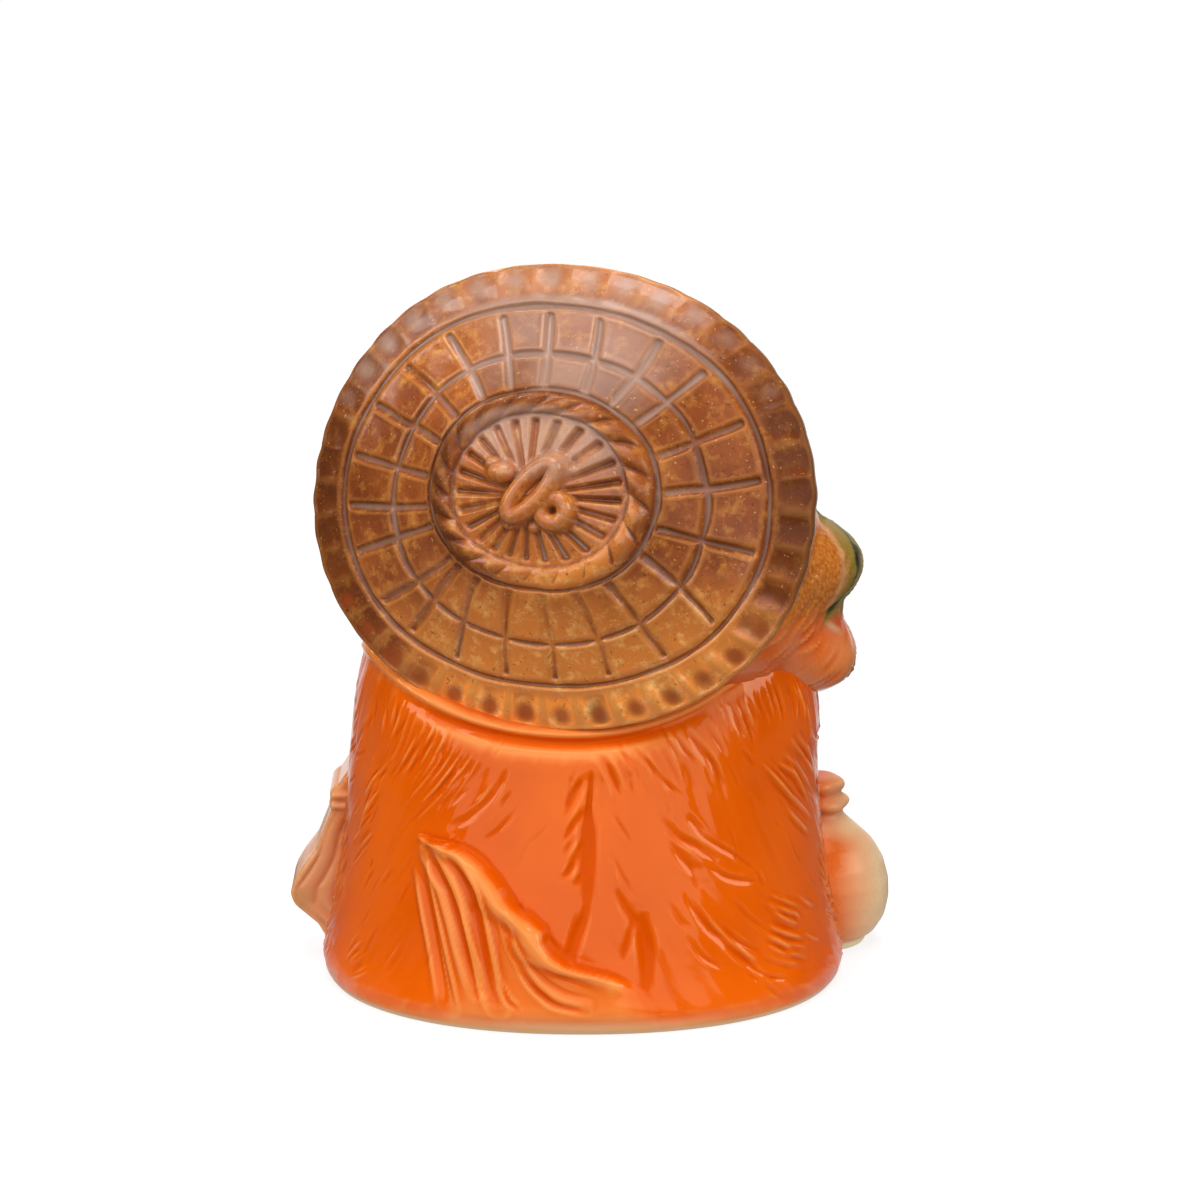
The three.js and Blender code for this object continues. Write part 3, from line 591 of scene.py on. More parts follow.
body = {
    "centreX": 0.2, "squareness": 2.15, "top": (-0.5, 0, 58), "bottom": (0, 0, 0.9), "backColumns": 460,
    "frontColumns": 56, "backFrom": -25, "backTo": 205, "seed": 5, "shoulderLift": 8, "lean": (-0.7, 34, 47),
    "foot": ((0.985, 0), (0.9, 0), (0.87, 0.3), (0.85, 0.8), (0.6, 0.9), (0.3, 0.9)),
}
bodySide = through([
    (0, 41.7), (0.9, 42.4), (2.6, 42.9), (4, 43), (9, 41.8), (18, 40.1), (28, 38.9), (38, 38.3), (44, 38),
    (49, 36.3), (52, 34.4), (55, 30), (58, 20),
])
bodyBack = through([
    (0, 38.8), (0.9, 39.6), (2.6, 40.1), (3.6, 40.2), (9, 39.2), (18, 37.6), (27, 35.6), (36, 33.4), (44, 31),
    (50, 27), (55, 21), (58, 14),
])
bodyFront = through([(0, 33), (0.9, 34), (2.6, 34.4), (18, 34), (36, 30), (46, 25), (53, 19), (58, 10)])

# strokes cut in the back: half width and depth in mm, then points right and down as the photograph shows them
furStrokes = (
    (0.45, 0.26, (418, 734), (404, 761), (385, 787)), (0.45, 0.26, (425, 741), (411, 764), (403, 779)),
    (0.5, 0.28, (433, 735), (421, 752), (411, 772)), (0.4, 0.2, (403, 716), (386, 746)),
    (0.4, 0.2, (396, 720), (383, 749)), (0.5, 0.26, (474, 764), (458, 786), (434, 818)),
    (0.5, 0.28, (483, 769), (463, 792), (446, 811)), (0.4, 0.16, (457, 777), (436, 799), (394, 839)),
    (0.8, 0.3, (503, 778), (489, 801), (468, 821), (448, 832)), (0.5, 0.18, (511, 793), (497, 813)),
    (0.5, 0.18, (521, 804), (500, 831), (482, 846)), (0.4, 0.1, (548, 827), (524, 852)),
    (0.5, 0.2, (383, 690), (380, 731)), (0.5, 0.2, (370, 694), (365, 737)),
    (0.5, 0.2, (393, 700), (388, 731)), (0.4, 0.16, (440, 748), (431, 763)),
    (0.4, 0.2, (450, 752), (428, 781)), (0.4, 0.14, (440, 790), (420, 810)),
    (0.55, -0.34, (371, 779), (357, 802)), (0.55, -0.34, (371, 787), (355, 823)),
    (0.5, -0.34, (369, 800), (349, 841)), (0.5, -0.3, (366, 822), (344, 852)),
    (0.4, 0.2, (353, 860), (343, 874)), (0.4, 0.2, (365, 867), (361, 879)),
    (0.4, 0.16, (372, 812), (360, 836)), (0.9, 0.32, (600, 754), (611, 774), (621, 800)),
    (0.5, 0.22, (618, 744), (631, 766)), (0.45, 0.26, (634, 748), (650, 766), (665, 785), (688, 802)),
    (0.45, 0.24, (660, 728), (673, 748), (682, 767)), (0.5, 0.26, (668, 725), (685, 752), (701, 769)),
    (0.6, 0.3, (679, 722), (700, 751), (719, 776), (727, 801)),
    (0.45, 0.24, (691, 735), (712, 761), (721, 772)), (0.45, 0.24, (703, 722), (717, 741), (728, 757)),
    (0.4, 0.16, (745, 704), (756, 725), (760, 744)), (0.4, 0.16, (765, 690), (773, 717)),
    (0.4, 0.2, (743, 751), (759, 769)), (0.4, 0.14, (715, 700), (722, 716)),
    (0.7, -0.42, (771, 774), (790, 796), (819, 829)), (0.65, -0.42, (780, 765), (798, 777), (813, 802)),
    (0.65, -0.4, (789, 811), (805, 831), (816, 843)), (0.45, -0.3, (796, 770), (806, 790), (817, 813)),
    (0.45, -0.26, (799, 676), (804, 700), (803, 724)), (0.45, 0.26, (811, 690), (813, 716)),
    (0.9, 0.3, (660, 819), (680, 842), (700, 851), (722, 869)), (0.8, 0.28, (688, 817), (706, 840)),
    (1.0, 0.3, (671, 844), (689, 869), (703, 877)),
    (0.6, 0.22, (699, 837), (720, 850), (740, 862), (762, 879)),
    (0.45, 0.18, (611, 854), (624, 881), (636, 902)), (0.5, 0.2, (612, 814), (625, 835), (633, 847)),
    (0.7, 0.24, (709, 869), (730, 884), (763, 889)), (0.4, 0.2, (794, 838), (803, 864), (813, 876)),
    (0.6, 0.18, (690, 870), (701, 892)), (0.8, 0.26, (586, 778), (573, 804), (562, 822)),
    (0.5, 0.18, (592, 788), (586, 827)), (0.6, 0.2, (575, 838), (562, 860)),
    (0.6, 0.2, (577, 865), (560, 884)), (0.6, 0.2, (735, 905), (752, 925), (770, 938)),
    (0.7, 0.24, (722, 930), (742, 950), (765, 962)), (0.6, 0.22, (700, 915), (716, 938), (728, 946)),
    (0.6, 0.22, (690, 945), (706, 965), (726, 976)), (0.5, -0.24, (765, 905), (784, 924), (800, 934)),
    (0.7, -0.36, (778, 948), (797, 962), (815, 968)), (0.5, 0.2, (752, 975), (776, 988), (796, 990)),
    (0.5, -0.24, (800, 900), (814, 914), (824, 920)), (0.45, -0.24, (806, 940), (820, 950), (828, 952)),
    (0.6, 0.18, (668, 905), (682, 926), (690, 934)),
)
partingStrokes = (
    (0.9, 0.55, (591, 768), (590, 800), (588, 832)), (1.9, 1.2, (589, 805), (587, 858), (587, 912)),
    (0.9, 0.6, (588, 888), (586, 915), (580, 942)), (1.4, 1.0, (582, 918), (574, 946), (565, 976)),
    (0.8, 0.5, (582, 780), (571, 796), (563, 812)), (0.8, 0.5, (584, 812), (572, 829), (563, 844)),
    (0.8, 0.5, (583, 846), (572, 866), (565, 882)), (0.7, 0.4, (582, 878), (572, 892)),
    (0.8, 0.5, (614, 893), (626, 912), (640, 932)), (1.8, 1.1, (641, 915), (648, 955), (648, 1000)),
    (0.8, 0.5, (634, 922), (628, 948), (622, 966)),
)
# combs of strokes: how many, half width, depth, then the first and the last of them
furCombs = (
    (14, 0.42, -0.26, ((383, 690), (379, 712), (374, 738)), ((486, 768), (470, 788), (446, 812))),
    (8, 0.4, -0.2, ((398, 716), (388, 738), (378, 760)), ((456, 776), (440, 798), (412, 826))),
    (8, 0.42, -0.3, ((374, 772), (364, 786), (356, 800)), ((364, 850), (354, 862), (345, 874))),
    (8, 0.42, -0.16, ((700, 722), (715, 742), (726, 760)), ((792, 680), (797, 702), (798, 722))),
    (6, 0.65, -0.42, ((766, 768), (788, 790), (806, 814)), ((800, 735), (812, 752), (819, 768))),
    (5, 0.42, -0.3, ((796, 662), (803, 690), (808, 715)), ((812, 700), (817, 725), (819, 748))),
    (7, 0.7, -0.42, ((778, 902), (797, 913), (818, 922)), ((768, 964), (792, 975), (818, 980))),
    (5, 0.8, 0.2, ((688, 903), (704, 930), (720, 948)), ((736, 962), (755, 976), (775, 986))),
    (6, 0.42, -0.24, ((352, 940), (343, 952), (336, 964)), ((362, 985), (350, 992), (338, 996))),
    (9, 0.5, 0.16, ((604, 760), (616, 790), (630, 818)), ((700, 740), (716, 764), (728, 790))),
    (10, 0.5, 0.3, ((734, 704), (745, 726), (754, 746)), ((802, 658), (807, 688), (809, 712))),
)

tail = {
    "top": (426, 845), "rise": 1.9, "bulk": 1.1,
    "right": (
        (652, 1028), (640, 1003), (616, 984), (582, 975), (558, 963), (547, 948), (543, 934), (528, 921),
        (512, 908), (497, 884), (470, 857), (446, 848), (426, 845),
    ),
    "left": ((442, 1022), (437, 1004), (426, 950), (417, 896), (412, 862), (414, 846)),
}
tailStrokes = (  # valleys, and with a minus the raised edges between them
    (1.3, 0.75, (418, 862), (424, 896), (431, 930), (438, 968), (447, 1015)),
    (1.2, 0.7, (426, 856), (438, 872), (449, 894), (460, 928), (468, 960), (478, 996)),
    (1.2, 0.75, (450, 854), (464, 874), (474, 896), (482, 938), (490, 990), (498, 1016)),
    (0.7, 0.3, (505, 912), (513, 950), (534, 990), (554, 1009), (585, 1016)),
    (0.9, -0.25, (506, 925), (521, 965), (541, 989), (563, 1003), (588, 1009)),
    (0.6, 0.4, (512, 908), (522, 919), (533, 932)),
    (0.8, -0.25, (431, 875), (447, 898), (456, 928), (463, 952)),
    (1.2, -0.3, (436, 850), (456, 876), (470, 908), (478, 952), (484, 986)),
    (0.4, 0.22, (440, 938), (446, 975), (454, 1012)),
    (1.2, -0.2, (470, 870), (492, 894), (514, 920), (534, 945), (558, 968), (598, 982)),
    (0.4, 0.2, (478, 865), (494, 884), (506, 900)), (0.5, 0.25, (500, 985), (508, 1006), (518, 1014)),
)


def bodyMiddle(z):  # the shoulders lean a little towards the flask
    much, start, end = body["lean"]
    return body["centreX"] + much * ease(z, start, end)


def backAt(x, z):  # how far back the body reaches
    aside = np.clip(np.abs((x - bodyMiddle(z)) / bodySide(z)), 0, 0.999)
    return bodyBack(z) * (1 - aside ** body["squareness"]) ** (1 / body["squareness"])


def seenOnBack(right, down):  # a place in the photograph, brought to the back in mm across and up
    x, z = view["target"][0] - (right - view["middle"]) / view["pixels"], 28.0
    for _ in range(4):
        height = (view["middle"] - down) / view["pixels"] + seenFrom[2] * float(backAt(x, z))
        z = view["target"][2] + height / seenFrom[1]
    return x, z


def edgeOfTail(name):  # a place across for each height
    return through(sorted((z, x) for x, z in (seenOnBack(*place) for place in tail[name])))


tailRight, tailLeft = edgeOfTail("right"), edgeOfTail("left")


def furFlow(u, z):  # the lie of the fur: degrees away from straight down, outwards on each side
    fan = (10 + 1.05 * np.abs(u)) * (0.62 + 0.38 * ease(z, 16, 42))
    lowRight = 26 * ease(-u, 14, 34) * fade(z, 10, 24)
    return np.sign(u) * np.minimum(fan + lowRight, 68)


def carveStroke(sheet, line, half, depth, edge=0.55):  # cuts one tapered stroke into the relief
    (relief, us, zs), line, room = sheet, np.array(line), 2.2 * half
    c0, c1 = np.searchsorted(us, [line[:, 0].min() - room, line[:, 0].max() + room])
    r0, r1 = np.searchsorted(-zs, [-line[:, 1].max() - room, -line[:, 1].min() + room])
    if c1 - c0 < 2 or r1 - r0 < 2:
        return
    away, place = awayFromLine(*np.meshgrid(us[c0:c1], zs[r0:r1]), line)
    taper = np.sin(np.pi * np.clip(place, 0.02, 0.98)) ** 0.7
    shoulder = edge * hump((away - 1.35 * half) / (0.6 * half))
    relief[r0:r1, c0:c1] += depth * taper * (shoulder - np.clip(1 - away / half, 0, 1))


def brush(sheet, rng, flow, u, z, length, half, depth):  # one stroke of fur that follows the lie
    length, curl = rng.uniform(*length), rng.normal(0, 2)
    steps, twist, line = 7, rng.normal(0, 5), [(u, z)]
    for i in range(steps):
        lie = math.radians(float(flow(np.array(u), np.array(z))) + twist + curl * i)
        u += math.sin(lie) * length / steps
        z -= math.cos(lie) * length / steps
        line.append((u, z))
    carveStroke(sheet, line, rng.uniform(*half), rng.uniform(*depth))


def carveSeen(sheet, placeOn, strokes, share=1, edge=0.55):  # strokes as the photograph shows them
    for half, depth, *places in strokes:
        line = np.array([placeOn(*seenOnBack(*place)) for place in places])
        fine = np.linspace(0, len(line) - 1, 4 * len(line) - 3)
        line = np.stack([np.interp(fine, np.arange(len(line)), line[:, i]) for i in (0, 1)], -1)
        line[1:-1] = 0.25 * line[:-2] + 0.5 * line[1:-1] + 0.25 * line[2:]
        carveStroke(sheet, line, half, share * depth, edge)


def combStrokes(rng):  # each comb filled with strokes that pass from its first to its last
    for count, half, depth, first, last in furCombs:
        for i in range(count):
            share = np.clip((i + rng.uniform(-0.3, 0.3)) / (count - 1), 0, 1)
            line = (1 - share) * np.array(first) + share * np.array(last)
            line = line[0] + (line - line[0]) * rng.uniform(0.7, 1.15) + rng.normal(0, 1.2, 2)
            yield (half * rng.uniform(0.8, 1.25), depth * rng.uniform(0.6, 1.2), *line)


def carveFur(us, zs, placeOn):
    rng = np.random.default_rng(body["seed"])
    relief, parting = np.zeros((2, len(zs), len(us)))
    sheet = relief, us, zs
    carveSeen(sheet, placeOn, furStrokes, 1.1, 0.2)
    carveSeen(sheet, placeOn, combStrokes(rng), 1, 0.2)
    carveSeen((parting, us, zs), placeOn, partingStrokes, 1, 0)
    parting = np.maximum(parting, -1)
    relief += 0.6 * parting
    # faint dents and finer strokes between them
    for _ in range(46):
        brush(sheet, rng, furFlow, rng.uniform(-62, 62), rng.uniform(3, 50), (6, 12), (1.0, 1.9), (0.05, 0.12))
    for _ in range(120):
        u, z = rng.uniform(-64, 64), rng.uniform(4, 50)
        calm = abs(u) < 20 and z < 36
        if not calm or rng.uniform() >= 0.7:
            brush(sheet, rng, furFlow, u, z, (3, 7), (0.35, 0.55), (0.025, 0.08) if calm else (0.05, 0.16))
    # strokes past the edges of the photograph, round the flanks
    for _ in range(46):
        u, z = rng.choice((-1, 1)) * rng.uniform(50, 64), rng.uniform(5, 46)
        lie = math.radians(float(furFlow(np.array(u), np.array(z))))
        for step in (0, 1.2, 2.4):
            place = u + step * math.cos(lie), z + step * math.sin(lie) + rng.normal(0, 0.8)
            brush(sheet, rng, furFlow, *place, (4, 8), (0.4, 0.6), (0.12, 0.28))
    return relief, np.clip(-2 * parting, 0, 1)


def tailMound(x, z):
    right, left, top = tailRight(z), tailLeft(z), seenOnBack(*tail["top"])[1]
    soft = 1.5 + 6 * fade(z, 6, 11)
    inside = ease(x - right, -0.35 * soft, 0.65 * soft) * ease(left - x, -0.5, 1.6)
    inside = inside * fade(z, top - 0.4, top + 0.8)
    swell = tail["rise"] * (0.45 + 0.55 * ease(z, 1, 18)) * (0.3 + 0.7 * ease(left - x, 0.5, 6.5))
    swell += tail["bulk"] * hump((x - right - 2.2) / 4.5) * ease(z, 6, 13)
    return swell * inside * ease(z, 0.4, 5), inside


def hatShadow(points):  # how far out on the hat's disc each point shows, as the camera sees it
    to = points - hatMiddle
    to = to - (to @ hatOut / (seenFrom @ hatOut))[..., None] * seenFrom
    across, up = to @ hatAcross / hat["halfWidth"], to @ hatUp / hat["halfHeight"]
    return np.hypot(across, up) / hatSize(np.arctan2(up, across) % fullTurn)


def makeBody():
    start, end = body["backFrom"], body["backTo"]
    back = np.radians(np.linspace(start, end, body["backColumns"], endpoint=False))
    front = np.radians(np.linspace(end, 360 + start, body["frontColumns"], endpoint=False))
    heights = np.r_[np.linspace(58, 51, 9), np.linspace(50.7, 2.6, 163), [2.1, 1.6, 1.1, 0.7, 0.35, 0.12, 0]]
    angle, z, columns = np.r_[back, front], heights[:, None], len(back)
    cos, sin = np.cos(angle), np.sin(angle)
    side, depth = bodySide(z), np.where(sin > 0, bodyBack(z), bodyFront(z))
    size = squareRound(angle, body["squareness"])
    x, y = side * size * cos, depth * size * sin
    # the shoulders rise to the hat's rim on both sides
    high = z + body["shoulderLift"] * ease(np.abs(cos), 0.3, 0.8) * ease(sin, -0.5, 0.1) * ease(z, 40, 53)
    # arc length across the back from its middle, positive towards +X
    row = np.searchsorted(-heights, -20)
    us = np.r_[0, np.cumsum(np.hypot(np.diff(x[row, :columns]), np.diff(y[row, :columns])))]
    us = np.interp(90, np.degrees(back), us) - us
    middle = bodyMiddle(z)
    backX, backZ = (x + middle)[:, :columns], high[:, :columns]
    reach = hatShadow(stack(x + middle, y, high)[:, :columns])
    facing = np.sin(back) > 0

    def placeOn(place, height):  # where a place on the back lies in the sheet: how far along, and row height
        row = height
        for _ in range(3):
            level = backX[np.argmin(np.abs(heights - row)), facing]
            across = float(np.interp(place, level[::-1], us[facing][::-1]))
            row = float(np.interp(height, backZ[::-1, np.argmin(np.abs(us - across))], heights[::-1]))
        return across, row

    relief, thick = [sheet[:, ::-1] for sheet in carveFur(us[::-1], heights, placeOn)]
    # soft locks that run down and away from the parting
    sweep = np.abs(us) * (1 + 0.012 * z) + 0.3 * z
    warp = stack(sweep + 1.2 * softNoise(stack(us, backZ, 0), 9, 51), backZ * 0.16, 3.1)
    locks = 0.16 * softNoise(warp, 3.2, 52) + 0.03 * softNoise(warp, 1.1, 53)
    relief = relief + ease(np.abs(us), 3, 10) * locks
    raised, onTail = tailMound(backX, backZ)
    strands = np.zeros(relief.shape)
    carveSeen((strands, us[::-1], heights), placeOn, tailStrokes, 1.25)
    relief = relief * (1 - onTail) + raised + strands[:, ::-1]
    # a collar under the hat
    nearHat = fade(np.abs(backX - 5), 8, 28)
    collar = nearHat * (0.4 * hump((reach - 1.13) / 0.12) - 0.9 * hump((reach - 1.062) / 0.036))
    relief = relief * ease(reach, 1.02, 1.07) + collar + 0.7 * hump((reach - 1.014) / 0.024)
    relief = (relief - 3.2 * fade(reach, 0.97, 1.003)) * ease(np.sin(back), -0.35, 0.1) * ease(z, 0.3, 3)
    # painted highlight on the lip and collar under the hat and along the tail, painted shade in the channel
    # below the rim, and thicker glaze down the parting
    thin = nearHat * (0.6 * hump((reach - 1.1) / 0.07) - 0.5 * hump((reach - 1.055) / 0.02))
    thin += 0.6 * hump((reach - 1.018) / 0.025) + 0.7 * (1 - nearHat) * hump((reach - 1.04) / 0.06)
    thin = (thin + 0.5 * onTail - 0.7 * thick) * facing
    outX, outY = cos / side, sin / depth
    push = np.pad(relief, ((0, 0), (0, len(front)))) / np.hypot(outX, outY)
    points = stack(x + push * outX + middle, y + push * outY, high)
    rings = [points[-1] * np.array([share, share, 0]) + np.array([0, 0, rise]) for share, rise in body["foot"]]
    top, bottom = [np.broadcast_to(np.array(body[end], float), points[:1].shape) for end in ("top", "bottom")]
    points = np.concatenate([top, points[1:], rings, bottom])
    thin = np.pad(thin, ((0, len(points) - len(thin)), (0, len(front))))
    piece = wrapSheet("body", points, 10, 0.22, thin=thin)
    # pale clay shows at the foot
    x, y, z = placesOf(piece).T
    bare = hump(x / 36) * fade(z + 0.5 * softNoise(stack(x, y, z), 5, 55), 1.2, 3.4) * (y > 0)
    handIn(piece, (np.maximum(0.6 * fade(z, 0.25, 1.3), 0.42 * bare), 0, 0.5 * fade(z, 0.6, 2.4)))


makeBody()

# head, turned to the figure's right

head = {
    "centre": (-4, -1, 66), "yaw": 30, "halfWidth": 37, "halfDepth": 31, "crown": 31, "chin": 22,
    "squareness": 2.2, "columns": 420, "rows": 200, "seed": 9,
    "swells": (  # yaw, height, half width and half height in degrees from straight ahead, and rise in mm
        (0, -13, 36, 32, 12), (60, 4, 32, 15.5, 6.3), (60, -22.5, 34, 20.5, 9.9), (27, 27, 26, 15, 2.4),
        (27, 8, 14, 14, 2),
    ),
    "eye": (25, 9, 8.4), "pupil": (22.5, 8, 4.2), "nose": (-7.2, 6.4, 4.6, 2.2),
    "whiskers": ((9, -14), (13, -12.5), (12, -16.5), (17, -14.5), (16, -18)),
}
headTurn = math.radians(head["yaw"])
headRight = np.array([-math.cos(headTurn), math.sin(headTurn), 0])
headForward = np.array([-math.sin(headTurn), -math.cos(headTurn), 0])
headAxes, headMiddle = np.array([headRight, headForward, [0, 0, 1]]), np.array(head["centre"])


def onHead(right, forward, up):
    return stack(right, forward, up) @ headAxes + headMiddle


def headFlow(u, z):  # the lie of the fur round the face, in degrees from straight down, outwards
    return np.sign(u) * (58 + 60 * ease(z, 4, 22) - 30 * ease(-z, 6, 18))


def faceLines(yaw, height):  # how far each place is from the eyes and the nose, and its height over the mouth
    side = np.abs(yaw)
    eyeYaw, eyeHeight, eyeSize = head["eye"]
    noseHeight, noseWide, noseTall, _ = head["nose"]
    eye = np.hypot(side - eyeYaw, (height - eyeHeight) * 0.95) / eyeSize
    nose = np.hypot(yaw / noseWide, (height - noseHeight) / noseTall)
    mouth = -20.5 - 2.8 * np.sin(np.pi * np.minimum(side / 15, 1)) + 6.5 * ease(side, 15, 31)
    return eye, nose, height - mouth


def makeHead():
    yaw = (np.arange(head["columns"]) / head["columns"] * 360 - 180)[None, :]
    height = np.linspace(90, -90, head["rows"] + 1)[:, None]
    yawTurn, heightTurn = np.radians(yaw), np.radians(height)
    level = np.cos(heightTurn)
    flat = np.hypot(np.cos(yawTurn) / head["halfDepth"], np.sin(yawTurn) / head["halfWidth"]) * level
    steep = np.abs(np.sin(heightTurn)) / np.where(height > 0, head["crown"], head["chin"])
    size = (flat ** head["squareness"] + steep ** head["squareness"]) ** (-1 / head["squareness"])
    side = np.abs(yaw)
    for atYaw, atHeight, halfWidth, halfHeight, rise in head["swells"]:
        away = ((side - atYaw) / halfWidth) ** 2 + ((height - atHeight) / halfHeight) ** 2
        size = size + rise * np.clip(1 - away, 0, 1) ** 2
    # eyes with lids, nose with nostrils and the line below it, mouth with a lip, whisker dots
    eyeYaw, eyeHeight, _ = head["eye"]
    noseHeight, _, _, noseRise = head["nose"]
    eye, nose, overMouth = faceLines(yaw, height)
    size = size + 1.5 * np.sqrt(dome(eye)) - 0.6 * hump((eye - 1.06) / 0.16)
    size = size + (0.5 + 0.5 * ease(height, eyeHeight - 3, eyeHeight + 5)) * hump((eye - 1.33) / 0.3)
    size = size + noseRise * np.clip(1 - nose ** 2.6, 0, 1) ** 0.5 - 0.4 * hump((nose - 1.12) / 0.2)
    size = size - 0.8 * hump(np.hypot(side - 2.7, height - noseHeight + 2.0) / 1.4)
    size = size - 0.9 * hump(yaw / 1.2) * ease(height, -20.5, -18.5) * fade(height, -13.5, -11)
    size = size - 1.1 * hump(overMouth / 1.5) * fade(side, 29, 31)
    size = size + 0.7 * hump((overMouth + 4.5) / 3.6) * fade(side, 12, 24)
    for dotYaw, dotHeight in head["whiskers"]:
        size = size - 0.35 * hump(np.hypot(side - dotYaw, height - dotHeight) / 0.9)
    # fur swept back from the face
    rng = np.random.default_rng(head["seed"])
    relief = np.zeros(size.shape)
    sheet = relief, yaw[0] * 0.62, height[:, 0] * 0.62
    for _ in range(520):
        u, z = rng.uniform(20, 62) * rng.choice((-1, 1)), rng.uniform(-30, 34)
        brush(sheet, rng, headFlow, u, z, (4, 9), (0.45, 0.95), (0.12, 0.34))
    for _ in range(90):
        u, z = rng.uniform(-20, 20), rng.uniform(17, 36)
        brush(sheet, rng, headFlow, u, z, (4, 8), (0.45, 0.8), (0.1, 0.22))
    size = size + relief * (1 - hump(np.hypot(side - eyeYaw, height - eyeHeight) / 22) ** 0.5)
    points = onHead(size * np.sin(yawTurn) * level, size * np.cos(yawTurn) * level, size * np.sin(heightTurn))
    paintHead(wrapSheet("head", points, 10, 0.24))


def paintHead(piece):
    # dark mask from the eye out over the temple, a pale line under it, cream muzzle, gold by the hat
    at = placesOf(piece)
    right, forward, up = headAxes @ (at - headMiddle).T
    yaw, height = np.degrees(np.arctan2(right, forward)), np.degrees(np.arctan2(up, np.hypot(right, forward)))
    side = np.abs(yaw)
    eye, nose, overMouth = faceLines(yaw, height)
    ragged = 1.6 * softNoise(at * np.array([1, 1, 0.5]), 1.6, 71) + 1.4 * softNoise(at, 5, 72)
    along = np.clip((side - 22) / 40, 0, 1)
    away = np.hypot((side - 22 - 40 * along) / 1.15, height - 9 + 5 * along) - 11.5
    mask = fade(away - ragged, -1.2, 1.2)
    ball = fade(eye, 0.9, 1.0)
    pupilYaw, pupilHeight, pupilSize = head["pupil"]
    pupil = fade(np.hypot(side - pupilYaw, height - pupilHeight) - pupilSize, -0.4, 0.4)
    mouth = 0.8 * hump(overMouth / 1.1) * fade(side, 28, 30.5)
    edge = side + 0.35 * height + 0.6 * ragged
    lobe = ease(side, 46, 54) * fade(edge, 75, 78) * ease(height, -10, -5) * fade(height, 18, 27)
    streaks = hump(np.abs(np.sin(np.radians(15 * (side + 0.6 * height) + 14 * ragged))) / 0.62)
    mask = np.maximum(mask * (1 - lobe), lobe * (0.34 + 0.66 * streaks))
    jowlEdge = hump((side - 60) / 12) * ease(height, -42, -34) * fade(height, -20, -12)
    mask = np.maximum(mask, 0.3 * jowlEdge)
    gold = ease(edge, 73, 77) * ease(height + ragged, -10, 0) * fade(side, 112, 130) * fade(height, 24, 46)
    under = hump((height + 6.5 + 5 * along) / 3.4) * ease(side, 30, 44) * fade(side, 50, 62)
    jowl = 0.7 * hump((height + 10 - 0.4 * (side - 74)) / 2) * hump((side - 74) / 6)
    pale = 0.3 * hump((edge - 78) / 2.4) * ease(height, -8, 0) * fade(height, 16, 25)
    salmon = 0.19 * (0.65 + 0.35 * np.sin(np.radians(18 * (side - height) + 20 * ragged)))
    salmon *= ease(side + 0.5 * ragged, 62, 76) * fade(side, 112, 135)
    salmon *= ease(height, -46, -32) * fade(height + ragged, -12, -2)
    muzzle = fade(np.hypot(yaw / 27, (height + 17) / 13) * 10 + 0.5 * ragged, 8.6, 10.4)
    brow = 0.9 * fade(np.hypot((side - 15) / 1.3, height - 27) + 0.5 * ragged, 4, 6)
    cream = np.maximum.reduce([muzzle, 0.85 * np.maximum.reduce([under, jowl, pale, salmon]), ball, brow])
    dark = np.maximum.reduce([mask * (1 - ball), pupil, fade(nose, 0.92, 1.06), mouth])
    keepAttribute(piece, "satin", 0.3 * lobe)
    handIn(piece, (cream, dark, np.maximum(gold, lobe)))


ear = {"half": (8, 4.4, 10.4), "aside": 18, "forward": 7, "up": 28, "roll": 20, "hollow": 2.6}


def makeEars():
    turnAbout, fall = turns(96), np.linspace(0, math.pi, 61)[:, None]
    roll = math.radians(ear["roll"])
    for side, name in ((1, "right_ear"), (-1, "left_ear")):
        x, forward, up = np.sin(fall) * np.sin(turnAbout), np.sin(fall) * np.cos(turnAbout), np.cos(fall)
        dish = np.where(forward > 0, hump(np.hypot(x / 0.72, (up - 0.08) / 0.78)), 0)
        a = ear["half"][0] * x * (1 - 0.16 * ease(up, 0.3, 1.0))
        b = ear["half"][1] * forward - ear["hollow"] * dish ** 0.7
        c = ear["half"][2] * up
        right = side * (ear["aside"] + a * math.cos(roll) + c * math.sin(roll))
        points = onHead(right, ear["forward"] + b, ear["up"] - a * math.sin(roll) + c * math.cos(roll))
        points = points + 0.18 * softNoise(points, 2.2, 77)[..., None]
        piece = wrapSheet(name, points, 8, 0.3)
        out, forward, high = headAxes @ (placesOf(piece) - headMiddle).T
        out, forward, high = side * out - ear["aside"], forward - ear["forward"], high - ear["up"]
        a, c = out * math.cos(roll) - high * math.sin(roll), out * math.sin(roll) + high * math.cos(roll)
        inside = fade(np.hypot(a / 5.6, (c - 0.9) / 8.4), 0.75, 1.0) * ease(forward, -1.5, 0.5)
        handIn(piece, (0, 0.85 * inside, 0))


makeHead()
makeEars()

# belly, arms and feet

belly = {"centre": (0, -14, 24.5), "half": (30, 29, 23), "navel": 2.2}


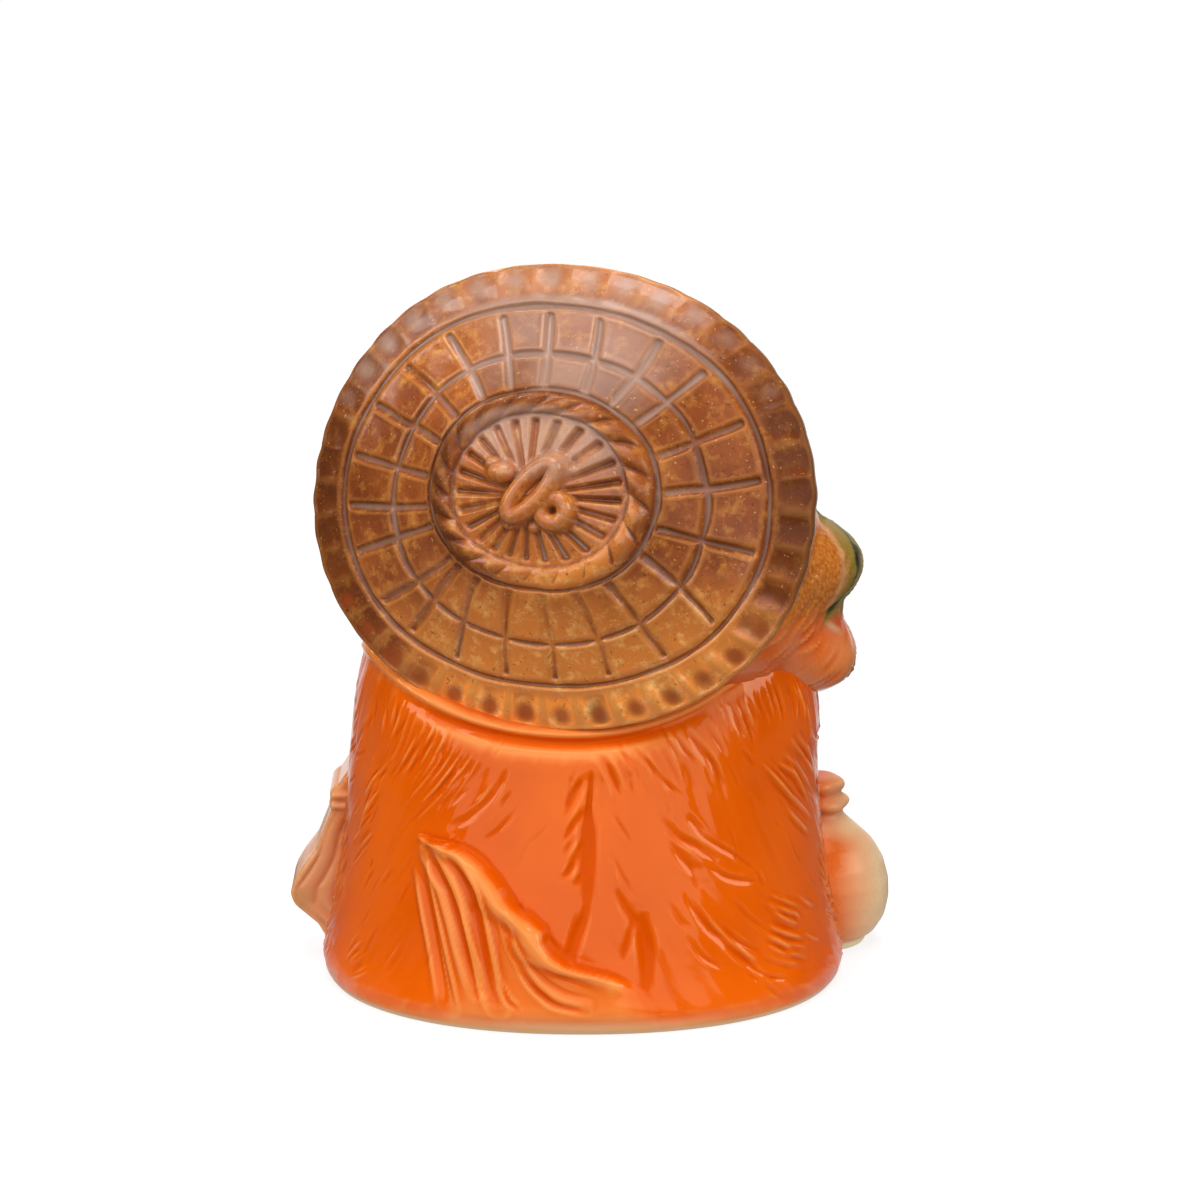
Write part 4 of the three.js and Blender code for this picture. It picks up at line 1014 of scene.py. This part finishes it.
def makeBelly():
    turnAbout, fall = turns(180), np.linspace(0, math.pi, 101)[:, None]  # from the navel back into the body
    x, z, y = np.sin(fall) * np.cos(turnAbout), np.sin(fall) * np.sin(turnAbout), -np.cos(fall)
    around = np.hypot(x, z)
    swell = 0.25 * softNoise(stack(x, y, z) * 10, 4, 81)
    dent = (y < 0) * (0.25 * hump((around - 0.12) / 0.06) - belly["navel"] * hump(around / 0.085))
    half, middle = np.array(belly["half"]), np.array(belly["centre"])
    points = stack((half[0] + swell) * x, (half[1] + dent + swell) * y, (half[2] + swell) * z) + middle
    piece = wrapSheet("belly", points, 8, 0.3)
    at = (placesOf(piece) - middle) / half
    edge = np.hypot(at[:, 0], at[:, 2] + 0.05) + 0.05 * softNoise(placesOf(piece), 6, 82)
    handIn(piece, (fade(edge, 0.62, 0.9) * (at[:, 1] < 0), 0, 0))


def roundForm(at, half, turn=0):  # an egg of clay to be worked into a larger form
    pick()
    bpy.ops.mesh.primitive_uv_sphere_add(
        segments=32, ring_count=16, radius=1, location=[v * mm for v in at],
        rotation=(0, 0, math.radians(turn)), scale=[v * mm for v in half])
    return bpy.context.object


def limbForms(start, end, startRadius, endRadius):  # a row of balls from one end of a limb to the other
    start, end = np.array(start, float), np.array(end, float)
    return [
        roundForm(start + (end - start) * share, (startRadius + (endRadius - startRadius) * share,) * 3)
        for share in np.arange(9) / 8
    ]


def workTogether(name, forms, rounds):  # joins forms into one skin and softens the seams
    pick(*forms)
    bpy.ops.object.join()
    bpy.ops.object.transform_apply(location=True, rotation=True, scale=True)
    piece = bpy.context.object
    piece.name = piece.data.name = name
    skin = piece.modifiers.new("skin", "REMESH")
    skin.mode, skin.voxel_size = "VOXEL", 0.6 * mm
    soften = piece.modifiers.new("soften", "SMOOTH")
    soften.factor, soften.iterations = 0.5, rounds
    for modifier in ("skin", "soften"):
        bpy.ops.object.modifier_apply(modifier=modifier)
    closeSkin(piece)
    return piece


arms = {
    "right": (((-24, -14, 42), (-30, -24, 33), 10, 7.6), ((-30, -24, 32), (-33.5, -21, 28.5), 7.2, 5.2)),
    "left": (((24, -14, 42), (30, -22, 34), 10, 7.6), ((30, -22, 34), (34, -13, 30), 7.4, 5.2)),
    "rightFingers": ((-35.2, -24.6, 30.4), (-36.2, -24.4, 27.6), (-35.8, -24.2, 24.8), (-32.5, -26.2, 31.6)),
    "leftFingers": ((35.4, -17.6, 30.6), (36.4, -17.8, 27.6), (35.6, -18.0, 24.8), (31.5, -18.8, 32.4)),
    "fingerHalf": (3.0, 2.3, 1.9), "fingerTurn": 25,
}
feet = {
    "half": (9.5, 12.5, 6.2), "aside": 16, "forward": 34, "up": 6.4, "toes": 4, "toeHalf": (2.3, 4.0, 3.6),
    "toeStep": 4.1, "toeForward": 42.2, "toeUp": 4.4,
}


def makeArms():
    for side, turn in (("right", -1), ("left", 1)):
        forms = [form for part in arms[side] for form in limbForms(*part)]
        forms += [roundForm(at, arms["fingerHalf"], turn * arms["fingerTurn"]) for at in arms[side + "Fingers"]]
        piece = workTogether(side + "_arm", forms, 6)
        at = placesOf(piece)
        rise = 0.22 * softNoise(at * np.array([1, 1, 0.35]), 1.5, 91)  # hair-like unevenness
        movePoints(piece, at + rise[:, None] * normalsOf(piece))
        markHollows(piece, 8, 0.3)
        at = placesOf(piece)
        paw = ease(np.hypot(*(at - np.array(arms[side][1][1])).T[:2]), 9, 6) * fade(at[:, 2], 33, 36)
        handIn(piece, (0, 0.8 * paw * ease(-at[:, 1], 20, 24), 0))


def makeFeet():
    for side, name in ((-1, "right_foot"), (1, "left_foot")):
        forms = [roundForm((side * feet["aside"], -feet["forward"], feet["up"]), feet["half"])]
        for toe in range(feet["toes"]):
            across = (toe - (feet["toes"] - 1) / 2) * feet["toeStep"]
            place = side * feet["aside"] + across, 0.12 * across ** 2 - feet["toeForward"], feet["toeUp"]
            forms.append(roundForm(place, feet["toeHalf"]))
        piece = workTogether(name, forms, 5)
        at = placesOf(piece)
        at[:, 2] = np.maximum(at[:, 2], 0.2)
        movePoints(piece, at)
        markHollows(piece, 8, 0.3)
        claws = 0.8 * ease(-at[:, 1], 43.2, 45.2) * fade(at[:, 2], 4.5, 6)
        handIn(piece, (fade(at[:, 2], 0.3, 1.0), claws, 0))


makeBelly()
makeArms()
makeFeet()

# flask and account book

flask = {
    "centre": (-38.4, -15), "columns": 120, "step": 0.35,
    "profile": (
        (0, 0), (8.2, 0), (8.8, 0.25), (9.0, 0.9), (9.1, 1.5), (10.5, 2.2), (12.1, 4.8), (12.8, 8), (12.7, 11),
        (11.8, 14.3), (9.9, 17.4), (7.5, 19.7), (5.6, 21.4), (4.8, 22.3), (4.9, 22.8), (5.8, 23.4), (6.0, 24.1),
        (5.6, 24.8), (4.5, 25.4), (4.3, 25.8), (4.8, 26.3), (5.1, 27), (4.9, 27.8), (4.1, 28.3),
        (3.0, 28.5), (0, 28.5),
    ),
    "lumps": (5, 0.04, 22.4, 23.4), "satin": 0.22,
}


def alongLine(corners, places):  # an outline's coordinates, at the places that a function gives for its length
    corner = np.array(corners, float)
    steps = np.r_[0, np.cumsum(np.hypot(*np.diff(corner, axis=0).T))]
    return [np.interp(places(steps[-1]), steps, corner[:, i]) for i in (0, 1)]


def makeFlask():
    step, turnAbout = flask["step"], turns(flask["columns"])
    radius, rise = alongLine(flask["profile"], lambda length: np.r_[0, np.arange(step, length, step), length])
    kernel = np.array([1, 4, 6, 4, 1]) / 16
    radius[2:-2], rise[2:-2] = np.convolve(radius, kernel, "valid"), np.convolve(rise, kernel, "valid")
    radius, rise = radius[:, None], rise[:, None]
    cos, sin = np.cos(turnAbout), np.sin(turnAbout)
    lumps, much, start, end = flask["lumps"]
    swell = much * np.cos(lumps * turnAbout + 0.6 * rise) * ease(rise, start, end)
    radius = radius * (1 + 0.01 * softNoise(stack(cos * 3, sin * 3, rise * 0.3), 1.3, 101) + swell)
    points = stack(*flask["centre"], 0) + stack(radius * cos, radius * sin, rise)
    piece = wrapSheet("sake_flask", points, 6, 0.3)
    at = placesOf(piece)
    ragged = 1.2 * softNoise(at, 6, 102)
    start = 41.5 - 3.5 * ease(at[:, 2], 18, 21) + ease(at[:, 2], 21.5, 24)
    cream = np.maximum(0.78 * np.clip((-at[:, 0] + 0.7 * ragged - start) / 8, 0, 1), fade(at[:, 2], 0.9, 2.2))
    keepAttribute(piece, "satin", np.full(len(at), flask["satin"]))
    handIn(piece, (cream, 0, 0.35 * ease(-at[:, 0] + ragged, 34, 44)))


book = {
    "middle": (37.6, 17.5), "back": -2.2, "depth": 14.6, "bevel": 0.9, "columns": 300, "leaves": 5, "inner": 31,
    "outline": (
        (31, 4.4), (42.2, 4.4), (43.6, 6.8), (47.4, 10), (47.9, 11.4), (47.4, 13.1), (46, 15.5), (43.8, 18.4),
        (40.9, 25.8), (41.2, 26.4), (41, 28.9), (40.1, 29.2), (37.6, 33), (31, 33.4), (31, 4.4),
    ),
    # heights, and how far out the leaves reach there
    "outer": ((4.4, 6.8, 10, 12.4, 18.4, 25.8, 33.4), (42.2, 43.6, 47.4, 47.6, 43.8, 40.9, 37)),
}


def makeBook():
    ring = alongLine(book["outline"], lambda length: np.linspace(0, length, book["columns"], endpoint=False))
    ring = stack(*ring)
    for _ in range(3):
        ring = 0.5 * ring + 0.25 * (np.roll(ring, 1, 0) + np.roll(ring, -1, 0))
    middle, bevel, depth = np.array(book["middle"]), book["bevel"], book["depth"]
    ahead = np.roll(ring, -1, 0) - np.roll(ring, 1, 0)
    inward = np.stack([-ahead[:, 1], ahead[:, 0]], -1) / np.hypot(*ahead.T)[:, None]
    # rows from the middle of the back over the edge to the middle of the front: share of the size, inset, depth
    bend = [(bevel * (1 - math.sin(t)), bevel * (1 - math.cos(t))) for t in np.linspace(0, math.pi / 2, 5)[1:]]
    rows = [(share, 0, 0) for share in np.linspace(0, 1, 30)]
    rows += [(1, bevel - inset, deep) for inset, deep in bend]
    rows += [(1, bevel, deep) for deep in np.linspace(bevel, depth - bevel, 26)[1:]]
    rows += [(1, bevel - deep, depth - inset) for inset, deep in bend]
    rows += [(share, 0, depth) for share in np.linspace(1, 0, 14)[1:]]
    share, inset, deep = np.array(rows).T[:, :, None]
    flat = middle + (ring - inset[..., None] * inward - middle) * share[..., None]
    x, z = flat[..., 0], flat[..., 1]
    # leaves fan towards the bottom, a sewn band crosses them near the top
    share = (x - book["inner"]) / (np.interp(z, *book["outer"]) - book["inner"])
    leaf = np.abs(np.sin(np.pi * (share * book["leaves"] + 0.1 * np.sin(z * 0.5)))) ** 0.6
    onBack, below = fade(deep, 0.5, 1.6), ease(z, 27, 23)
    band = hump(z - 26.5) + hump(z - 28.3)
    deep = deep + onBack * (0.5 * (1 - leaf) * below * ease(share, 0.02, 0.1) - 0.55 * band)
    edgeLeaf = 1 - np.abs(np.sin(np.pi * deep / 1.5)) ** 0.7
    push = 0.25 * fade(deep, 11.6, 12.6) * edgeLeaf * below - 0.4 * band * ease(x, 34, 38)
    push, toMiddle = (1 - onBack) * push, middle - flat
    flat = flat + push[..., None] * toMiddle / np.maximum(np.hypot(*toMiddle.T).T, 0.01)[..., None]
    piece = wrapSheet("account_book", stack(flat[..., 0], book["back"] - deep, flat[..., 1]), 8, 0.25)
    x, y, z = placesOf(piece).T
    worn = x + 0.8 * softNoise(stack(x, y, z), 3, 112)
    cream = 0.28 * ease(worn, 36, 43) + 0.35 * ease(-y, 14.5, 15.8)
    # the leaves' outermost corner painted darker, a painted shade
    handIn(piece, (cream, 0.12 * hump(np.hypot(x - 47, z - 10.5) / 3.2), 0.45 * ease(worn, 33, 39)))


makeFlask()
makeBook()
